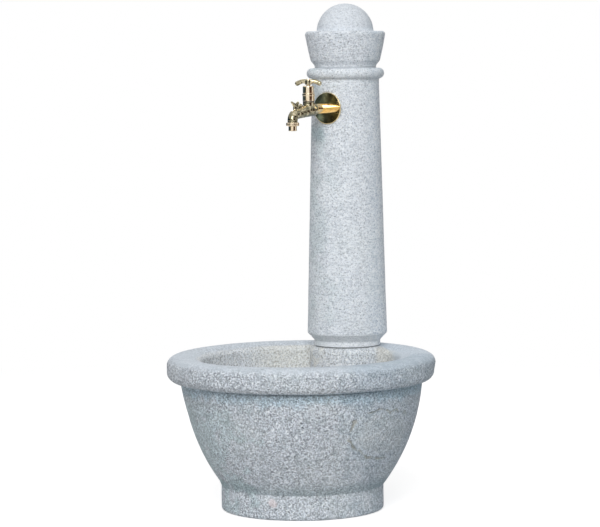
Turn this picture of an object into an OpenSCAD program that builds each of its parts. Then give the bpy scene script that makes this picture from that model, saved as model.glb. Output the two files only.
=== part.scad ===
// Garden fountain of light grey granite: a round basin on a foot ring, a tapering
// column on a ledge at the back of the basin's rim, a cup and ball on top of it,
// and a small brass tap with a rising spindle that pours into the basin.
// Millimetres, +Z up. The origin is the middle of the foot, on the ground. The tap
// points along -Y and the column stands at +Y.

/* [Basin] */
// Height of the rim's crown over the ground
basin_h = 308; // [290:1:340]
// Outer radius of the rolled rim
rim_r = 265; // [255:1:275]
// Height of the rim's roll
rim_h = 58; // [50:1:68]
// How far the roll stands out past the bowl's wall
rim_overhang = 24; // [18:1:30]
// Radius of the roll's lower quarter
rim_roll_r = 22; // [16:1:24]
// Radius of the rim's upper outer edge
rim_edge_r = 16; // [10:1:20]
// How far the rim's face leans in between roll and upper edge
rim_lean = 3; // [1:0.5:6]
// Radius of the line where the rim is highest
crown_r = 234; // [226:1:240]
// How far the inner edge lies below the crown
mouth_drop = 7; // [3:0.5:12]
// Rounding of the inner edge
mouth_edge_r = 5; // [3:0.5:8]
// Radius of the foot ring
foot_r = 163; // [150:1:172]
// Height of the foot ring
foot_h = 52; // [44:1:62]
// Worn rounding at the foot's bottom edge
foot_edge_r = 5; // [2:0.5:8]
// How far the bowl stands out over the foot ring where they meet
foot_step = 3; // [1:0.5:6]
// Radius of the bowl's bellied wall, seen from the side
belly_r = 390; // [340:5:480]
// Thickness of the bowl's wall
wall_t = 45; // [38:1:50]
// Height of the hollow's floor over the ground
floor_z = 82; // [76:1:95]
// Fall of the floor from the wall to the drain
floor_fall = 4; // [2:0.5:6]
// Rounding between the hollow's wall and floor
floor_fillet = 24; // [16:1:32]
// Radius of the hollow under the foot
recess_r = 72; // [64:1:90]
// Depth of the hollow under the foot
recess_h = 40; // [36:1:44]

/* [Column] */
// Distance from the rim's outer edge in to the column's axis
column_set = 93; // [89:1:97]
// Radius of the ring that the column stands on
column_foot_r = 67; // [62:1:72]
// Height of that ring
column_foot_h = 12; // [8:1:18]
// Radius of the shaft at its widest, just over the foot
shaft_base_r = 81; // [76:1:88]
// Height of the bevel under the shaft
shaft_bevel_h = 15; // [10:1:20]
// Radius of the shaft under the collar
shaft_top_r = 67.5; // [64:0.5:72]
// Length of the shaft from bevel to collar
shaft_h = 511; // [440:1:580]
// Radius of the collar at its widest
collar_r = 78.5; // [75:0.5:84]
// Height of the collar
collar_h = 22; // [18:1:28]
// Thickness of the mortar beds under the column and the capstone
bed_t = 2; // [1:0.5:4]
// How far a bed stays back from the edge of the stone over it
bed_inset = 3; // [1:0.5:6]
// Radius of the bore up the column
column_bore_r = 25; // [23:0.5:28]
// Height of the bore's closed end over the tap
bore_over_tap = 40; // [30:1:48]
// Margin of the basin's ledge round the column's foot
ledge_margin = 8; // [4:1:12]

/* [Capstone] */
// Radius of the neck under the cup
neck_r = 62.5; // [60:0.5:66]
// Height of the neck
neck_h = 3; // [2:0.5:6]
// Radius of the cup at its lower edge
cup_base_r = 70; // [67:0.5:73]
// Height of the bevel under the cup
cup_bevel_h = 9; // [6:0.5:12]
// Radius of the cup at its top
cup_top_r = 81; // [78:0.5:88]
// Height of the cup's flaring side
cup_h = 60; // [48:1:70]
// Rounding of the cup's top edge
cup_edge_r = 7; // [4:0.5:10]
// How far the cup's side swells past a straight flare
cup_belly = 0.5; // [0:0.1:3]
// Radius of the ball
ball_r = 57.5; // [52:0.5:62]
// How far the ball's middle lies under the cup's top
ball_sink = 2; // [0:0.5:6]

/* [Dowels] */
// Radius of the two pins between basin and column
column_dowel_r = 5; // [4:0.5:6]
// Length of the pins between basin and column
column_dowel_len = 80; // [60:1:100]
// Distance of those pins from the column's axis
column_dowel_x = 46; // [42:0.5:50]
// Radius of the pin between column and capstone
cap_dowel_r = 6; // [4:0.5:8]
// Length of the pin between column and capstone
cap_dowel_len = 56; // [40:1:64]
// Clearance round each pin and at its ends
dowel_gap = 0.2; // [0.1:0.05:0.4]

/* [Supply pipe] */
// Outer radius of the riser pipe
riser_r = 7.5; // [6:0.5:9]
// Wall of the riser pipe
riser_wall = 1; // [0.8:0.1:1.5]
// Radius of the pipe hole down through the ledge
pipe_hole_r = 15; // [13:0.5:18]
// Height of each rubber bush in the pipe hole
bush_h = 14; // [10:1:20]
// Radius of the notch in the foot ring for the supply
notch_r = 25; // [24:0.5:28]
// Height of the notch over the ground
notch_h = 98; // [94:1:104]
// Height of the inlet thread's end over the ground
inlet_z = 38; // [30:1:44]
// Radius of the inlet thread, 1/2 inch pipe thread
inlet_r = 10.48; // [8.3:0.01:13.2]
// Length of the inlet thread
inlet_len = 15; // [12:0.5:16]
// Height of the six-sided collar on the inlet fitting
inlet_hex_h = 6; // [5:0.5:8]
// Width across the flats of the pipe nuts
pipe_nut_af = 24; // [23:0.5:26]
// Height of the pipe nuts
pipe_nut_h = 14; // [12:0.5:16]
// Depth to which the riser pipe enters each fitting
riser_socket = 14; // [10:0.5:16]
// Wall of the fittings' sockets round the pipe
socket_wall = 2; // [1.5:0.1:2.5]
// Height of a pipe nut's ferrule
ferrule_h = 5; // [4:0.5:7]

/* [Tap] */
// Distance of the tap's axis under the collar
tap_under_collar = 58; // [50:1:90]
// Depth of the flat that is dressed on the column for the rosette
tap_flat = 3; // [2:0.5:4]
// Radius of the extension between column and tap
shank_r = 9.5; // [8.5:0.1:10.5]
// Radius of the water way from the extension to the seat
water_r = 4; // [3.2:0.1:4]
// Radius of the water way from the seat to the outlet
spout_bore = 5.2; // [4.5:0.1:5.4]
// Radius of the seat's opening
seat_r = 5; // [4:0.1:5.2]
// Distance from the rosette's seat to the tap's inlet end
shank_out = 50; // [44:1:56]
// Radius of the tap's inlet thread, 3/8 inch pipe thread
spigot_r = 8.33; // [7.5:0.01:8.5]
// Length of the tap's inlet thread
spigot_len = 11; // [8:0.5:14]
// Radius of the rosette
rosette_r = 31.5; // [28:0.5:34]
// Depth of the rosette's turned-back edge
rosette_depth = 5; // [4:0.5:7]
// Sheet thickness of the rosette
rosette_t = 1.4; // [1:0.1:2]
// Distance from the tap's inlet end to the spindle's axis
spindle_reach = 19; // [17:0.5:22]
// Distance from the spindle's axis to the outlet's axis
spout_reach = 57; // [50:0.5:64]
// Radius of the tap's body round the valve
body_r = 13; // [12.5:0.1:14]
// Radius of the spout
spout_r = 10; // [9:0.1:11]
// How far the body's middle lies under the inlet's axis
body_drop = 2; // [1:0.1:2.5]
// Fall of the spout from body to bend, in degrees
spout_fall = 9; // [6:0.5:12]
// Radius of the spout's bend, on its middle line
bend_r = 12; // [11:0.5:14]
// Length of the straight spout under the bend
spout_drop = 6.5; // [5:0.5:9]

/* [Valve] */
// Radius of the body's neck and of the headwork
neck_tap_r = 11.3; // [11:0.1:12]
// Height of the neck's top face over the inlet's axis
neck_top = 14; // [13:0.5:16]
// Radius of the chamber over the seat
chamber_r = 8; // [7.8:0.1:8.4]
// Radius of the headwork's thread in the neck
head_thread_r = 9; // [8.8:0.05:9.4]
// Depth of the headwork's thread in the neck
head_thread_len = 6; // [5:0.5:7]
// Thickness of the seal under the headwork
head_seal_t = 1.5; // [1:0.1:2]
// Height of the headwork over its seal, up to the ring
head_h = 11; // [10:0.5:14]
// Radius of the ring round the headwork
head_ring_r = 12.3; // [12.1:0.1:13.5]
// Height of that ring
head_ring_h = 4; // [3:0.5:5]
// Radius of the threaded boss that carries the gland nut
boss_r = 8.8; // [8.5:0.1:9.2]
// Height of that boss
boss_h = 8; // [7:0.5:10]
// Height of the packing in the boss
packing_h = 6; // [4:0.5:6.5]
// Radial width of the packing
packing_w = 2.8; // [2.4:0.1:3]
// Radius of the gland nut
gland_r = 10.8; // [10.4:0.1:11.2]
// Height of the gland nut
gland_h = 15; // [13:0.5:17]
// Radius of the spindle's stem
spindle_r = 4; // [3.6:0.1:4.3]
// Radius of the spindle's threaded foot
screw_r = 6.3; // [6:0.1:6.5]
// Height of the spindle's threaded foot
screw_h = 13; // [11:0.5:14]
// Rise of the spindle for one full turn
screw_pitch = 2.5; // [1.5:0.25:3]
// Number of turns from closed to open
turns = 1.5; // [1:0.25:1.5]
// Radius of the jumper's disc
jumper_r = 6.8; // [6.4:0.1:7]
// Thickness of the jumper's disc
jumper_t = 3; // [2:0.5:3]
// Radius of the jumper's stem
jumper_stem_r = 3; // [2.4:0.1:3.2]
// Length of the jumper's stem
jumper_stem_len = 11; // [9:0.5:12]
// Thickness of the rubber washer
washer_t = 3; // [2:0.5:3.5]
// Clearance of moving fits, on the radius
run_gap = 0.15; // [0.1:0.05:0.25]
// Clearance of fixed fits, on the radius
fit_gap = 0.1; // [0.05:0.05:0.2]

/* [Handle and outlet] */
// Length of the handle from tip to tip
handle_len = 53; // [44:1:60]
// Thickness of the handle's arms
handle_arm_r = 3; // [2.5:0.1:3.5]
// Radius of the handle's ends
handle_tip_r = 3.7; // [3.5:0.1:4.5]
// Droop of the handle's ends below its middle
handle_droop = 4.5; // [2:0.5:6]
// Angle of the closed handle across the tap, in degrees
handle_angle = 20; // [-45:1:45]
// Radius of the handle's hub
hub_r = 7; // [6.5:0.1:8]
// Height of the handle's hub
hub_h = 10; // [9:0.5:12]
// Free height between gland nut and hub when closed
hub_gap = 2; // [1:0.5:3]
// Radius of the handle's screw head
cap_screw_r = 4.2; // [3.6:0.1:4.6]
// Radius of the ring nut at the outlet
ring_r = 12.8; // [12.4:0.1:13.5]
// Height of the ring nut
ring_h = 6.8; // [6:0.1:9]
// Number of notches round the ring nut
ring_notches = 24; // [12:1:30]
// Depth of the notches round the ring nut
notch_depth = 0.5; // [0.3:0.1:0.7]
// Radius of the outlet nozzle
nozzle_r = 8.2; // [7.5:0.1:8.6]
// Bore radius of the outlet nozzle
nozzle_bore = 5.8; // [5:0.1:6.2]
// Length of the nozzle under the ring nut
nozzle_len = 10; // [8:0.5:16]
// Thickness of the outlet washer
outlet_washer_t = 1.2; // [1:0.1:1.5]

/* [Drain] */
// Radius of the drain's flange in the basin
drain_flange_r = 30; // [28:0.5:33]
// Thickness of the drain's flange
drain_flange_t = 3; // [2.5:0.1:4]
// Radius of the drain's tail, 1 inch pipe thread
drain_r = 16.62; // [16:0.01:17.5]
// Bore radius of the drain's tail
drain_bore = 13.5; // [12.5:0.1:14]
// Clearance of the drain's tail in the stone, on the radius
drain_hole_gap = 1.5; // [1:0.1:3]
// Height of the drain's tail end over the ground
drain_z = 12; // [8:1:16]
// Thickness of the rubber rings over and under the stone
drain_seal_t = 2; // [1.5:0.1:3]
// Width across the flats of the drain's nut
drain_nut_af = 44; // [42:0.5:50]
// Height of the drain's nut
drain_nut_h = 9; // [8:0.5:11]
// How far the strainer laps over the edge of the drain's bore
strainer_lap = 2; // [1.5:0.1:2.5]
// Thickness of the strainer
strainer_t = 1.5; // [1.2:0.1:2]
// Radius of the strainer's holes
strainer_hole_r = 1.7; // [1.2:0.1:1.9]
// Number of holes in the strainer's outer ring
strainer_holes = 12; // [8:1:14]
// Width of the bar under the strainer
spider_w = 4; // [3:0.5:5]
// Radius of the strainer's screw
strainer_screw_r = 1.5; // [1:0.1:1.8]

/* [Hidden] */
$fn = 96;
// Overcut that keeps a cut clear of the face that it opens
cut = 1;
// Steps along each curved stretch of a turned outline
steps = 10;
stone = [0.74, 0.77, 0.80];
mortar = [0.52, 0.53, 0.54];
brass = [0.80, 0.66, 0.34];
steel = [0.70, 0.71, 0.73];
copper = [0.72, 0.45, 0.32];
rubber = [0.12, 0.12, 0.12];

// Heights of the stones
column_z = basin_h + bed_t;
bevel_z = column_z + column_foot_h;
shaft_z = bevel_z + shaft_bevel_h;
collar_z = shaft_z + shaft_h;
column_top = collar_z + collar_h;
cap_z = column_top + bed_t;
cup_z = cap_z + neck_h + cup_bevel_h;
cup_top = cup_z + cup_h;
ball_z = cup_top - ball_sink;

// The bowl's wall is an arc from the foot to the underside of the rim
bowl_foot = [foot_r + foot_step, foot_h];
bowl_top = [rim_r - rim_overhang, basin_h - rim_h];
belly_mid = arc_centre(bowl_foot, bowl_top, belly_r);
inner_r = belly_r - wall_t;
ledge_r = column_foot_r + ledge_margin;

// The places of the column and the tap
column_y = rim_r - column_set;
tap_z = collar_z - tap_under_collar;
shaft_slope = (shaft_base_r - shaft_top_r) / shaft_h;
shaft_r_at_tap = shaft_base_r - shaft_slope * (tap_z - shaft_z);
seat_y = column_y - shaft_r_at_tap + tap_flat;
inlet_end_y = seat_y - shank_out;
spindle_y = inlet_end_y - spindle_reach;
spout_y = spindle_y - spout_reach;
body_z = tap_z - body_drop;

// The spout's middle line falls from the body and bends straight down
bend_sweep = 90 - spout_fall;
bend_mid_y = spout_y + bend_r;
bend_start_y = bend_mid_y - bend_r * cos(bend_sweep);
fall_run = spindle_y - bend_start_y;
bend_start_z = body_z - fall_run * tan(spout_fall);
bend_mid_z = bend_start_z - bend_r * sin(bend_sweep);
spout_end_z = bend_mid_z - spout_drop;

// Heights in the valve
seat_z = body_z - 1;
seat_gap = 0.3;
neck_z = tap_z + neck_top;
head_z = neck_z + head_seal_t;
ring_z = head_z + head_h;
boss_z = ring_z + head_ring_h;
gland_z = boss_z + seat_gap;
gland_top = gland_z + gland_h;
washer_z = seat_z + seat_gap;
jumper_z = washer_z + washer_t;
jumper_top = jumper_z + jumper_t + jumper_stem_len;
screw_z = jumper_z + jumper_t + seat_gap;
lift = turns * screw_pitch;
screw_room_z = screw_z + screw_h + lift + 1;
hub_z = gland_top + hub_gap;
stem_top = hub_z + hub_h - 2;
packing_z = boss_z + boss_h - packing_h;

// Heights at the outlet: spout end, washer, nozzle flange and the ring nut's floor
ring_floor = 1.6;
nozzle_flange_t = 1.4;
nozzle_flange_r = spout_r - 0.8;
washer_top = spout_end_z;
nozzle_top = washer_top - outlet_washer_t;
nozzle_flange_z = nozzle_top - nozzle_flange_t;
ring_nut_z = nozzle_flange_z - ring_floor;
nozzle_z = ring_nut_z - nozzle_len;

// Heights of the supply line, from the inlet thread up to the elbow
inlet_hex_z = inlet_z + inlet_len;
inlet_socket_z = inlet_hex_z + inlet_hex_h;
riser_z = inlet_socket_z;
socket_r = riser_r + fit_gap + socket_wall;
elbow_r = shank_r + fit_gap + 3;
elbow_drop = 16;
elbow_socket_z = tap_z - elbow_drop - riser_socket;
riser_top = elbow_socket_z + riser_socket;
elbow_face_y = column_y + 1 - sqrt(column_bore_r * column_bore_r - elbow_r * elbow_r);
shank_in_elbow = 10;
nut_floor = 2;
ferrule_room = ferrule_h + 2 * fit_gap;
nut_grip = pipe_nut_h - ferrule_room - nut_floor;

// Heights of the drain
drain_top = floor_z - floor_fall;
drain_seat_z = drain_top - drain_flange_t - drain_seal_t;
drain_flange_z = drain_seat_z + drain_seal_t;
drain_gasket_z = recess_h - drain_seal_t;
drain_nut_z = drain_gasket_z - drain_nut_h;
drain_hole_r = drain_r + drain_hole_gap;
spider_r = strainer_screw_r + 2.5;
spider_h = 5;
strainer_z = drain_top - strainer_t;
spider_z = strainer_z - spider_h;
strainer_r = drain_bore + strainer_lap;
strainer_ring_r = drain_bore - strainer_hole_r - 1;

// Middle of the circle of radius r through p and q that bulges outwards
function arc_centre(p, q, r) =
    let (m = (p + q) / 2, v = q - p, h = norm(v) / 2, k = sqrt(r * r - h * h) / (2 * h))
    m + k * [-v[1], v[0]];

// Points on a circle from one angle to another
function arc(mid, r, from, to, n = steps) =
    [for (i = [0:n]) let (a = from + (to - from) * i / n) mid + r * [cos(a), sin(a)]];

// Angle of a point seen from another
function angle(mid, p) = atan2(p[1] - mid[1], p[0] - mid[0]);

// Outside of the basin, as if it were solid
function basin_outside() = concat(
    [[0, 0]],
    arc([foot_r - foot_edge_r, foot_edge_r], foot_edge_r, -90, 0, 5),
    [[foot_r, foot_h - foot_step]],
    arc(belly_mid, belly_r, angle(belly_mid, bowl_foot), angle(belly_mid, bowl_top), 14),
    arc([rim_r - rim_roll_r, bowl_top[1] + rim_roll_r], rim_roll_r, -90, 0),
    arc([rim_r - rim_lean - rim_edge_r, basin_h - rim_edge_r], rim_edge_r, 0, 90),
    [[0, basin_h]]);

// The rim's top falls from the crown on one arc and rounds over into the hollow
mouth_edge_z = basin_h - mouth_drop - mouth_edge_r;
mouth_r = belly_mid[0] + sqrt(inner_r * inner_r - pow(mouth_edge_z - belly_mid[1], 2));
mouth_run = crown_r - mouth_r - mouth_edge_r;
mouth_arc_r = mouth_edge_r + (mouth_run * mouth_run + mouth_drop * mouth_drop) / (2 * mouth_drop);
mouth_arc_end = atan2(mouth_run, mouth_arc_r - mouth_edge_r - mouth_drop);

// Where the hollow's wall runs into its floor
fillet_z = floor_z + floor_fillet;
fillet_reach = inner_r - floor_fillet;
fillet_run = sqrt(fillet_reach * fillet_reach - pow(belly_mid[1] - fillet_z, 2));
fillet_mid = [belly_mid[0] + fillet_run, fillet_z];
fillet_from = angle(belly_mid, fillet_mid);

// The hollow, from the mouth down to the drain's flange
function hollow_outline() = concat(
    [[0, basin_h + cut], [crown_r, basin_h + cut]],
    arc([crown_r, basin_h - mouth_arc_r], mouth_arc_r, 90, 90 + mouth_arc_end),
    arc([mouth_r + mouth_edge_r, mouth_edge_z], mouth_edge_r, 90 + mouth_arc_end, 180, 5),
    arc(belly_mid, inner_r, angle(belly_mid, [mouth_r, mouth_edge_z]), fillet_from, 14),
    arc(fillet_mid, floor_fillet, fillet_from, -90, 6),
    [[drain_flange_r + 2, drain_top], [0, drain_top]]);

// The ledge under the column, as wide as its foot and run back to the rim
module ledge_block() {
    translate([0, column_y, 0]) cylinder(r = ledge_r, h = basin_h);
    translate([-ledge_r, column_y, 0]) cube([2 * ledge_r, rim_r, basin_h]);
}

module basin() color(stone) difference() {
    union() {
        difference() {
            rotate_extrude() polygon(basin_outside());
            rotate_extrude() polygon(hollow_outline());
        }
        intersection() {
            rotate_extrude() polygon(basin_outside());
            ledge_block();
        }
    }
    // Pipe hole through the ledge and the notch in the foot ring under it
    translate([0, column_y, 0]) cylinder(r = pipe_hole_r, h = basin_h + cut);
    translate([0, column_y, -cut]) cylinder(r = notch_r, h = notch_h + cut);
    // Pin holes in the ledge
    for (side = [-1, 1])
        translate([side * column_dowel_x, column_y, column_z - column_dowel_len / 2 - dowel_gap])
            cylinder(r = column_dowel_r + dowel_gap, h = column_dowel_len);
    // Seat and hole of the drain, and the hollow under the foot
    translate([0, 0, drain_seat_z]) cylinder(r = drain_flange_r + fit_gap, h = basin_h);
    cylinder(r = drain_hole_r, h = basin_h);
    translate([0, 0, -cut]) cylinder(r = recess_r, h = recess_h + cut);
}

module column_bed() color(mortar) difference() {
    translate([0, column_y, basin_h]) cylinder(r = column_foot_r - bed_inset, h = bed_t);
    translate([0, column_y, basin_h - cut]) cylinder(r = column_bore_r + bed_inset, h = bed_t + 2 * cut);
    for (side = [-1, 1])
        translate([side * column_dowel_x, column_y, basin_h - cut])
            cylinder(r = column_dowel_r + dowel_gap, h = bed_t + 2 * cut);
}

module column_dowels() color(steel)
    for (side = [-1, 1])
        translate([side * column_dowel_x, column_y, column_z - column_dowel_len / 2])
            cylinder(r = column_dowel_r, h = column_dowel_len);

// The collar is a half-round moulding with a short slope up to the neck
collar_round = collar_h / 2;
collar_mid = [collar_r - collar_round, collar_z + collar_round];
collar_from = collar_mid[0] < shaft_top_r ? -acos((shaft_top_r - collar_mid[0]) / collar_round) : -90;
collar_to = collar_mid[0] < neck_r ? acos((neck_r - collar_mid[0]) / collar_round) : 75;

function column_outline() = concat(
    [[0, column_z], [column_foot_r, column_z], [column_foot_r, bevel_z], [shaft_base_r, shaft_z]],
    [[shaft_top_r, collar_z]],
    arc(collar_mid, collar_round, collar_from, collar_to, 12),
    [[neck_r, column_top], [0, column_top]]);

module column() color(stone) difference() {
    translate([0, column_y, 0]) rotate_extrude() polygon(column_outline());
    translate([0, column_y, column_z - cut])
        cylinder(r = column_bore_r, h = tap_z + bore_over_tap - column_z + cut);
    for (side = [-1, 1])
        translate([side * column_dowel_x, column_y, column_z - cut])
            cylinder(r = column_dowel_r + dowel_gap, h = column_dowel_len / 2 + dowel_gap + cut);
    translate([0, column_y, column_top - cap_dowel_len / 2])
        cylinder(r = cap_dowel_r + dowel_gap, h = cap_dowel_len);
    // Flat for the rosette and the hole for the tap's extension
    translate([0, seat_y, tap_z]) rotate([90, 0, 0]) cylinder(r = rosette_r + 2, h = column_bore_r);
    translate([0, column_y, tap_z]) rotate([90, 0, 0]) cylinder(r = shank_r + run_gap, h = shaft_base_r);
}

module cap_bed() color(mortar) difference() {
    translate([0, column_y, column_top]) cylinder(r = neck_r - bed_inset, h = bed_t);
    translate([0, column_y, column_top - cut]) cylinder(r = cap_dowel_r + dowel_gap, h = bed_t + 2 * cut);
}

module cap_dowel() color(steel)
    translate([0, column_y, column_top + bed_t / 2 - cap_dowel_len / 2 + dowel_gap])
        cylinder(r = cap_dowel_r, h = cap_dowel_len - 2 * dowel_gap);

// Neck, bevel, swelling side, rounded edge and level top of the cup
function cup_outline() = let (
    side_top = [cup_top_r, cup_top - cup_edge_r],
    side_base = [cup_base_r, cup_z])
    concat(
        [[0, cap_z], [neck_r, cap_z], [neck_r, cap_z + neck_h]],
        [for (i = [0:steps]) let (u = i / steps)
            side_base + u * (side_top - side_base) + [cup_belly * sin(180 * u), 0]],
        arc([cup_top_r - cup_edge_r, cup_top - cup_edge_r], cup_edge_r, 0, 90, 6),
        [[0, cup_top]]);

module capstone() color(stone) difference() {
    union() {
        translate([0, column_y, 0]) rotate_extrude() polygon(cup_outline());
        translate([0, column_y, ball_z]) sphere(r = ball_r);
    }
    translate([0, column_y, cap_z - cut])
        cylinder(r = cap_dowel_r + dowel_gap, h = cap_dowel_len / 2 + cut);
}

// Fittings of the riser pipe, drawn from the socket's end face with the pipe running up
module pipe_nut() difference() {
    translate([0, 0, -nut_grip]) cylinder(r = pipe_nut_af / 2 / cos(30), h = pipe_nut_h, $fn = 6);
    translate([0, 0, -nut_grip - cut]) cylinder(r = socket_r + fit_gap, h = nut_grip + ferrule_room + cut);
    cylinder(r = riser_r + fit_gap, h = pipe_nut_h);
}

module ferrule() rotate_extrude() polygon([
    [riser_r + fit_gap, fit_gap],
    [riser_r + 0.6, fit_gap],
    [socket_r - fit_gap, fit_gap + ferrule_h / 2],
    [riser_r + 0.6, fit_gap + ferrule_h],
    [riser_r + fit_gap, fit_gap + ferrule_h]]);

module at_inlet() translate([0, column_y, inlet_socket_z + riser_socket]) children();

module at_elbow() translate([0, column_y, elbow_socket_z]) mirror([0, 0, 1]) children();

// Ring about the vertical, from an inner to an outer radius
module ring(inner, outer, h) difference() {
    cylinder(r = outer, h = h);
    translate([0, 0, -cut]) cylinder(r = inner, h = h + 2 * cut);
}

// Turns a piece that is drawn upwards so that it points along the tap, out of the column
module along_tap(y, z) translate([0, y, z]) rotate([90, 0, 0]) children();

module pipe_bushes() color(rubber)
    for (z = [notch_h, basin_h - bush_h])
        translate([0, column_y, z]) ring(riser_r + fit_gap, pipe_hole_r - fit_gap, bush_h);

module riser_pipe() color(copper)
    translate([0, column_y, riser_z]) ring(riser_r - riser_wall, riser_r, riser_top - riser_z);

module inlet_fitting() color(brass) translate([0, column_y, 0]) difference() {
    union() {
        translate([0, 0, inlet_z]) cylinder(r = inlet_r, h = inlet_len);
        translate([0, 0, inlet_hex_z]) cylinder(r = pipe_nut_af / 2 / cos(30), h = inlet_hex_h, $fn = 6);
        translate([0, 0, inlet_socket_z]) cylinder(r = socket_r, h = riser_socket);
    }
    translate([0, 0, inlet_z - cut])
        cylinder(r = riser_r - riser_wall, h = inlet_len + inlet_hex_h + 2 * cut);
    translate([0, 0, riser_z]) cylinder(r = riser_r + fit_gap, h = riser_socket + cut);
}

module inlet_nut() color(brass) at_inlet() pipe_nut();

module inlet_ferrule() color(brass) at_inlet() ferrule();

module column_elbow() color(brass) difference() {
    union() {
        translate([0, column_y, elbow_socket_z]) cylinder(r = socket_r, h = riser_socket + elbow_drop);
        translate([0, column_y, tap_z]) sphere(r = elbow_r);
        along_tap(column_y, tap_z) cylinder(r = elbow_r, h = column_y - elbow_face_y);
    }
    translate([0, column_y, elbow_socket_z - cut]) cylinder(r = riser_r + fit_gap, h = riser_socket + cut);
    translate([0, column_y, elbow_socket_z])
        cylinder(r = riser_r - riser_wall, h = riser_socket + elbow_drop);
    along_tap(column_y, tap_z) cylinder(r = water_r, h = column_bore_r);
    along_tap(elbow_face_y + shank_in_elbow, tap_z)
        cylinder(r = shank_r + fit_gap, h = shank_in_elbow + cut);
}

module elbow_nut() color(brass) at_elbow() pipe_nut();

module elbow_ferrule() color(brass) at_elbow() ferrule();

module tap_extension() color(brass) difference() {
    along_tap(elbow_face_y + shank_in_elbow, tap_z)
        ring(water_r, shank_r, elbow_face_y + shank_in_elbow - inlet_end_y);
    along_tap(inlet_end_y + spigot_len + fit_gap, tap_z)
        cylinder(r = spigot_r + fit_gap, h = spigot_len + cut);
}

// A thin sheet disc with its edge rolled back to the stone
rosette_edge_r = 2.5;

function rosette_outline() = let (mid = [rosette_r - rosette_edge_r, rosette_depth - rosette_edge_r])
    concat(
        [[rosette_r, 0]],
        arc(mid, rosette_edge_r, 0, 90, 6),
        [[shank_r + fit_gap, rosette_depth], [shank_r + fit_gap, rosette_depth - rosette_t]],
        arc(mid, rosette_edge_r - rosette_t, 90, 0, 6),
        [[rosette_r - rosette_t, 0]]);

module rosette() color(brass) along_tap(seat_y, tap_z) rotate_extrude() polygon(rosette_outline());

// Quarter pipe in the tap's own plane, from the falling spout to straight down
module spout_bend(r)
    translate([0, bend_mid_y, bend_mid_z]) rotate([90, 0, -90])
        rotate_extrude(angle = bend_sweep) translate([bend_r, 0]) circle(r = r);

// Straight way between two points in the tap's own plane
module way(from, to, r)
    translate([0, from[0], from[1]])
        rotate([90 + atan2(from[1] - to[1], from[0] - to[0]), 0, 0])
            cylinder(r = r, h = norm(to - from));

// Cone between two points in the tap's own plane
module tapered_way(from, to, r1, r2)
    translate([0, from[0], from[1]])
        rotate([90 + atan2(from[1] - to[1], from[0] - to[0]), 0, 0])
            cylinder(r1 = r1, r2 = r2, h = norm(to - from));

// Ball in the tap's own plane
module knuckle(at, r) translate([0, at[0], at[1]]) sphere(r = r);

// Cast crest on the spout: a horn that leans forward, a knob and a low bump
module crest() translate([0, spout_y, body_z]) {
    tapered_way([8, -3], [7, 8], 3.4, 2.6);
    knuckle([7, 8], 2.7);
    tapered_way([7, 8], [3, 14], 2.5, 1.8);
    knuckle([3, 14], 1.9);
    tapered_way([3, 14], [-2.5, 18], 1.7, 0.8);
    tapered_way([15, 0], [16.5, 13], 2.4, 1.6);
    knuckle([16.5, 13], 3.1);
    knuckle([28.5, 10], 3.4);
}

// The straight lengths run a little into the bend, and are a hair thinner than it
draft = 0.15;
bend_lap = 0.8;
bend_join = [bend_start_y - bend_lap * cos(spout_fall), bend_start_z - bend_lap * sin(spout_fall)];

module tap_body_outside() {
    along_tap(inlet_end_y + spigot_len, tap_z) cylinder(r = spigot_r, h = spigot_len + cut);
    along_tap(inlet_end_y, body_z) cylinder(r1 = body_r - 1.2, r2 = body_r, h = spindle_reach);
    knuckle([spindle_y, body_z], body_r + draft);
    translate([0, spindle_y, body_z]) cylinder(r = neck_tap_r, h = neck_z - body_z);
    tapered_way([spindle_y, body_z], bend_join, body_r, spout_r - draft);
    spout_bend(spout_r);
    translate([0, spout_y, spout_end_z])
        cylinder(r = spout_r - draft, h = bend_mid_z - spout_end_z + bend_lap);
    crest();
}

// The water runs down under the seat, up through it and out over the spout
under_seat_z = seat_z - 2 - water_r;
outlet_way_z = seat_z + 0.8 + spout_bore;
dive_y = spindle_y + 9;

module tap_body() color(brass) difference() {
    tap_body_outside();
    way([inlet_end_y + spigot_len + cut, tap_z], [inlet_end_y - 1, tap_z], water_r);
    way([inlet_end_y - 1, tap_z], [dive_y, under_seat_z], water_r);
    knuckle([inlet_end_y - 1, tap_z], water_r + draft);
    knuckle([dive_y, under_seat_z], water_r + draft);
    way([dive_y, under_seat_z], [spindle_y, under_seat_z], water_r);
    translate([0, spindle_y, under_seat_z - 1]) cylinder(r = seat_r, h = seat_z - under_seat_z + 1 + cut);
    translate([0, spindle_y, seat_z]) cylinder(r = chamber_r, h = neck_z - seat_z + cut);
    translate([0, spindle_y, neck_z - head_thread_len - seat_gap])
        cylinder(r = head_thread_r + fit_gap, h = head_thread_len + seat_gap + cut);
    way([spindle_y - 4, outlet_way_z], [bend_start_y, bend_start_z], spout_bore - draft);
    knuckle([bend_start_y, bend_start_z], spout_bore + draft);
    spout_bend(spout_bore);
    translate([0, spout_y, spout_end_z - cut])
        cylinder(r = spout_bore - draft, h = bend_mid_z - spout_end_z + bend_lap + cut);
}

module headwork_seal() color(rubber)
    translate([0, spindle_y, neck_z]) ring(head_thread_r + fit_gap, neck_tap_r, head_seal_t);

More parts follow.
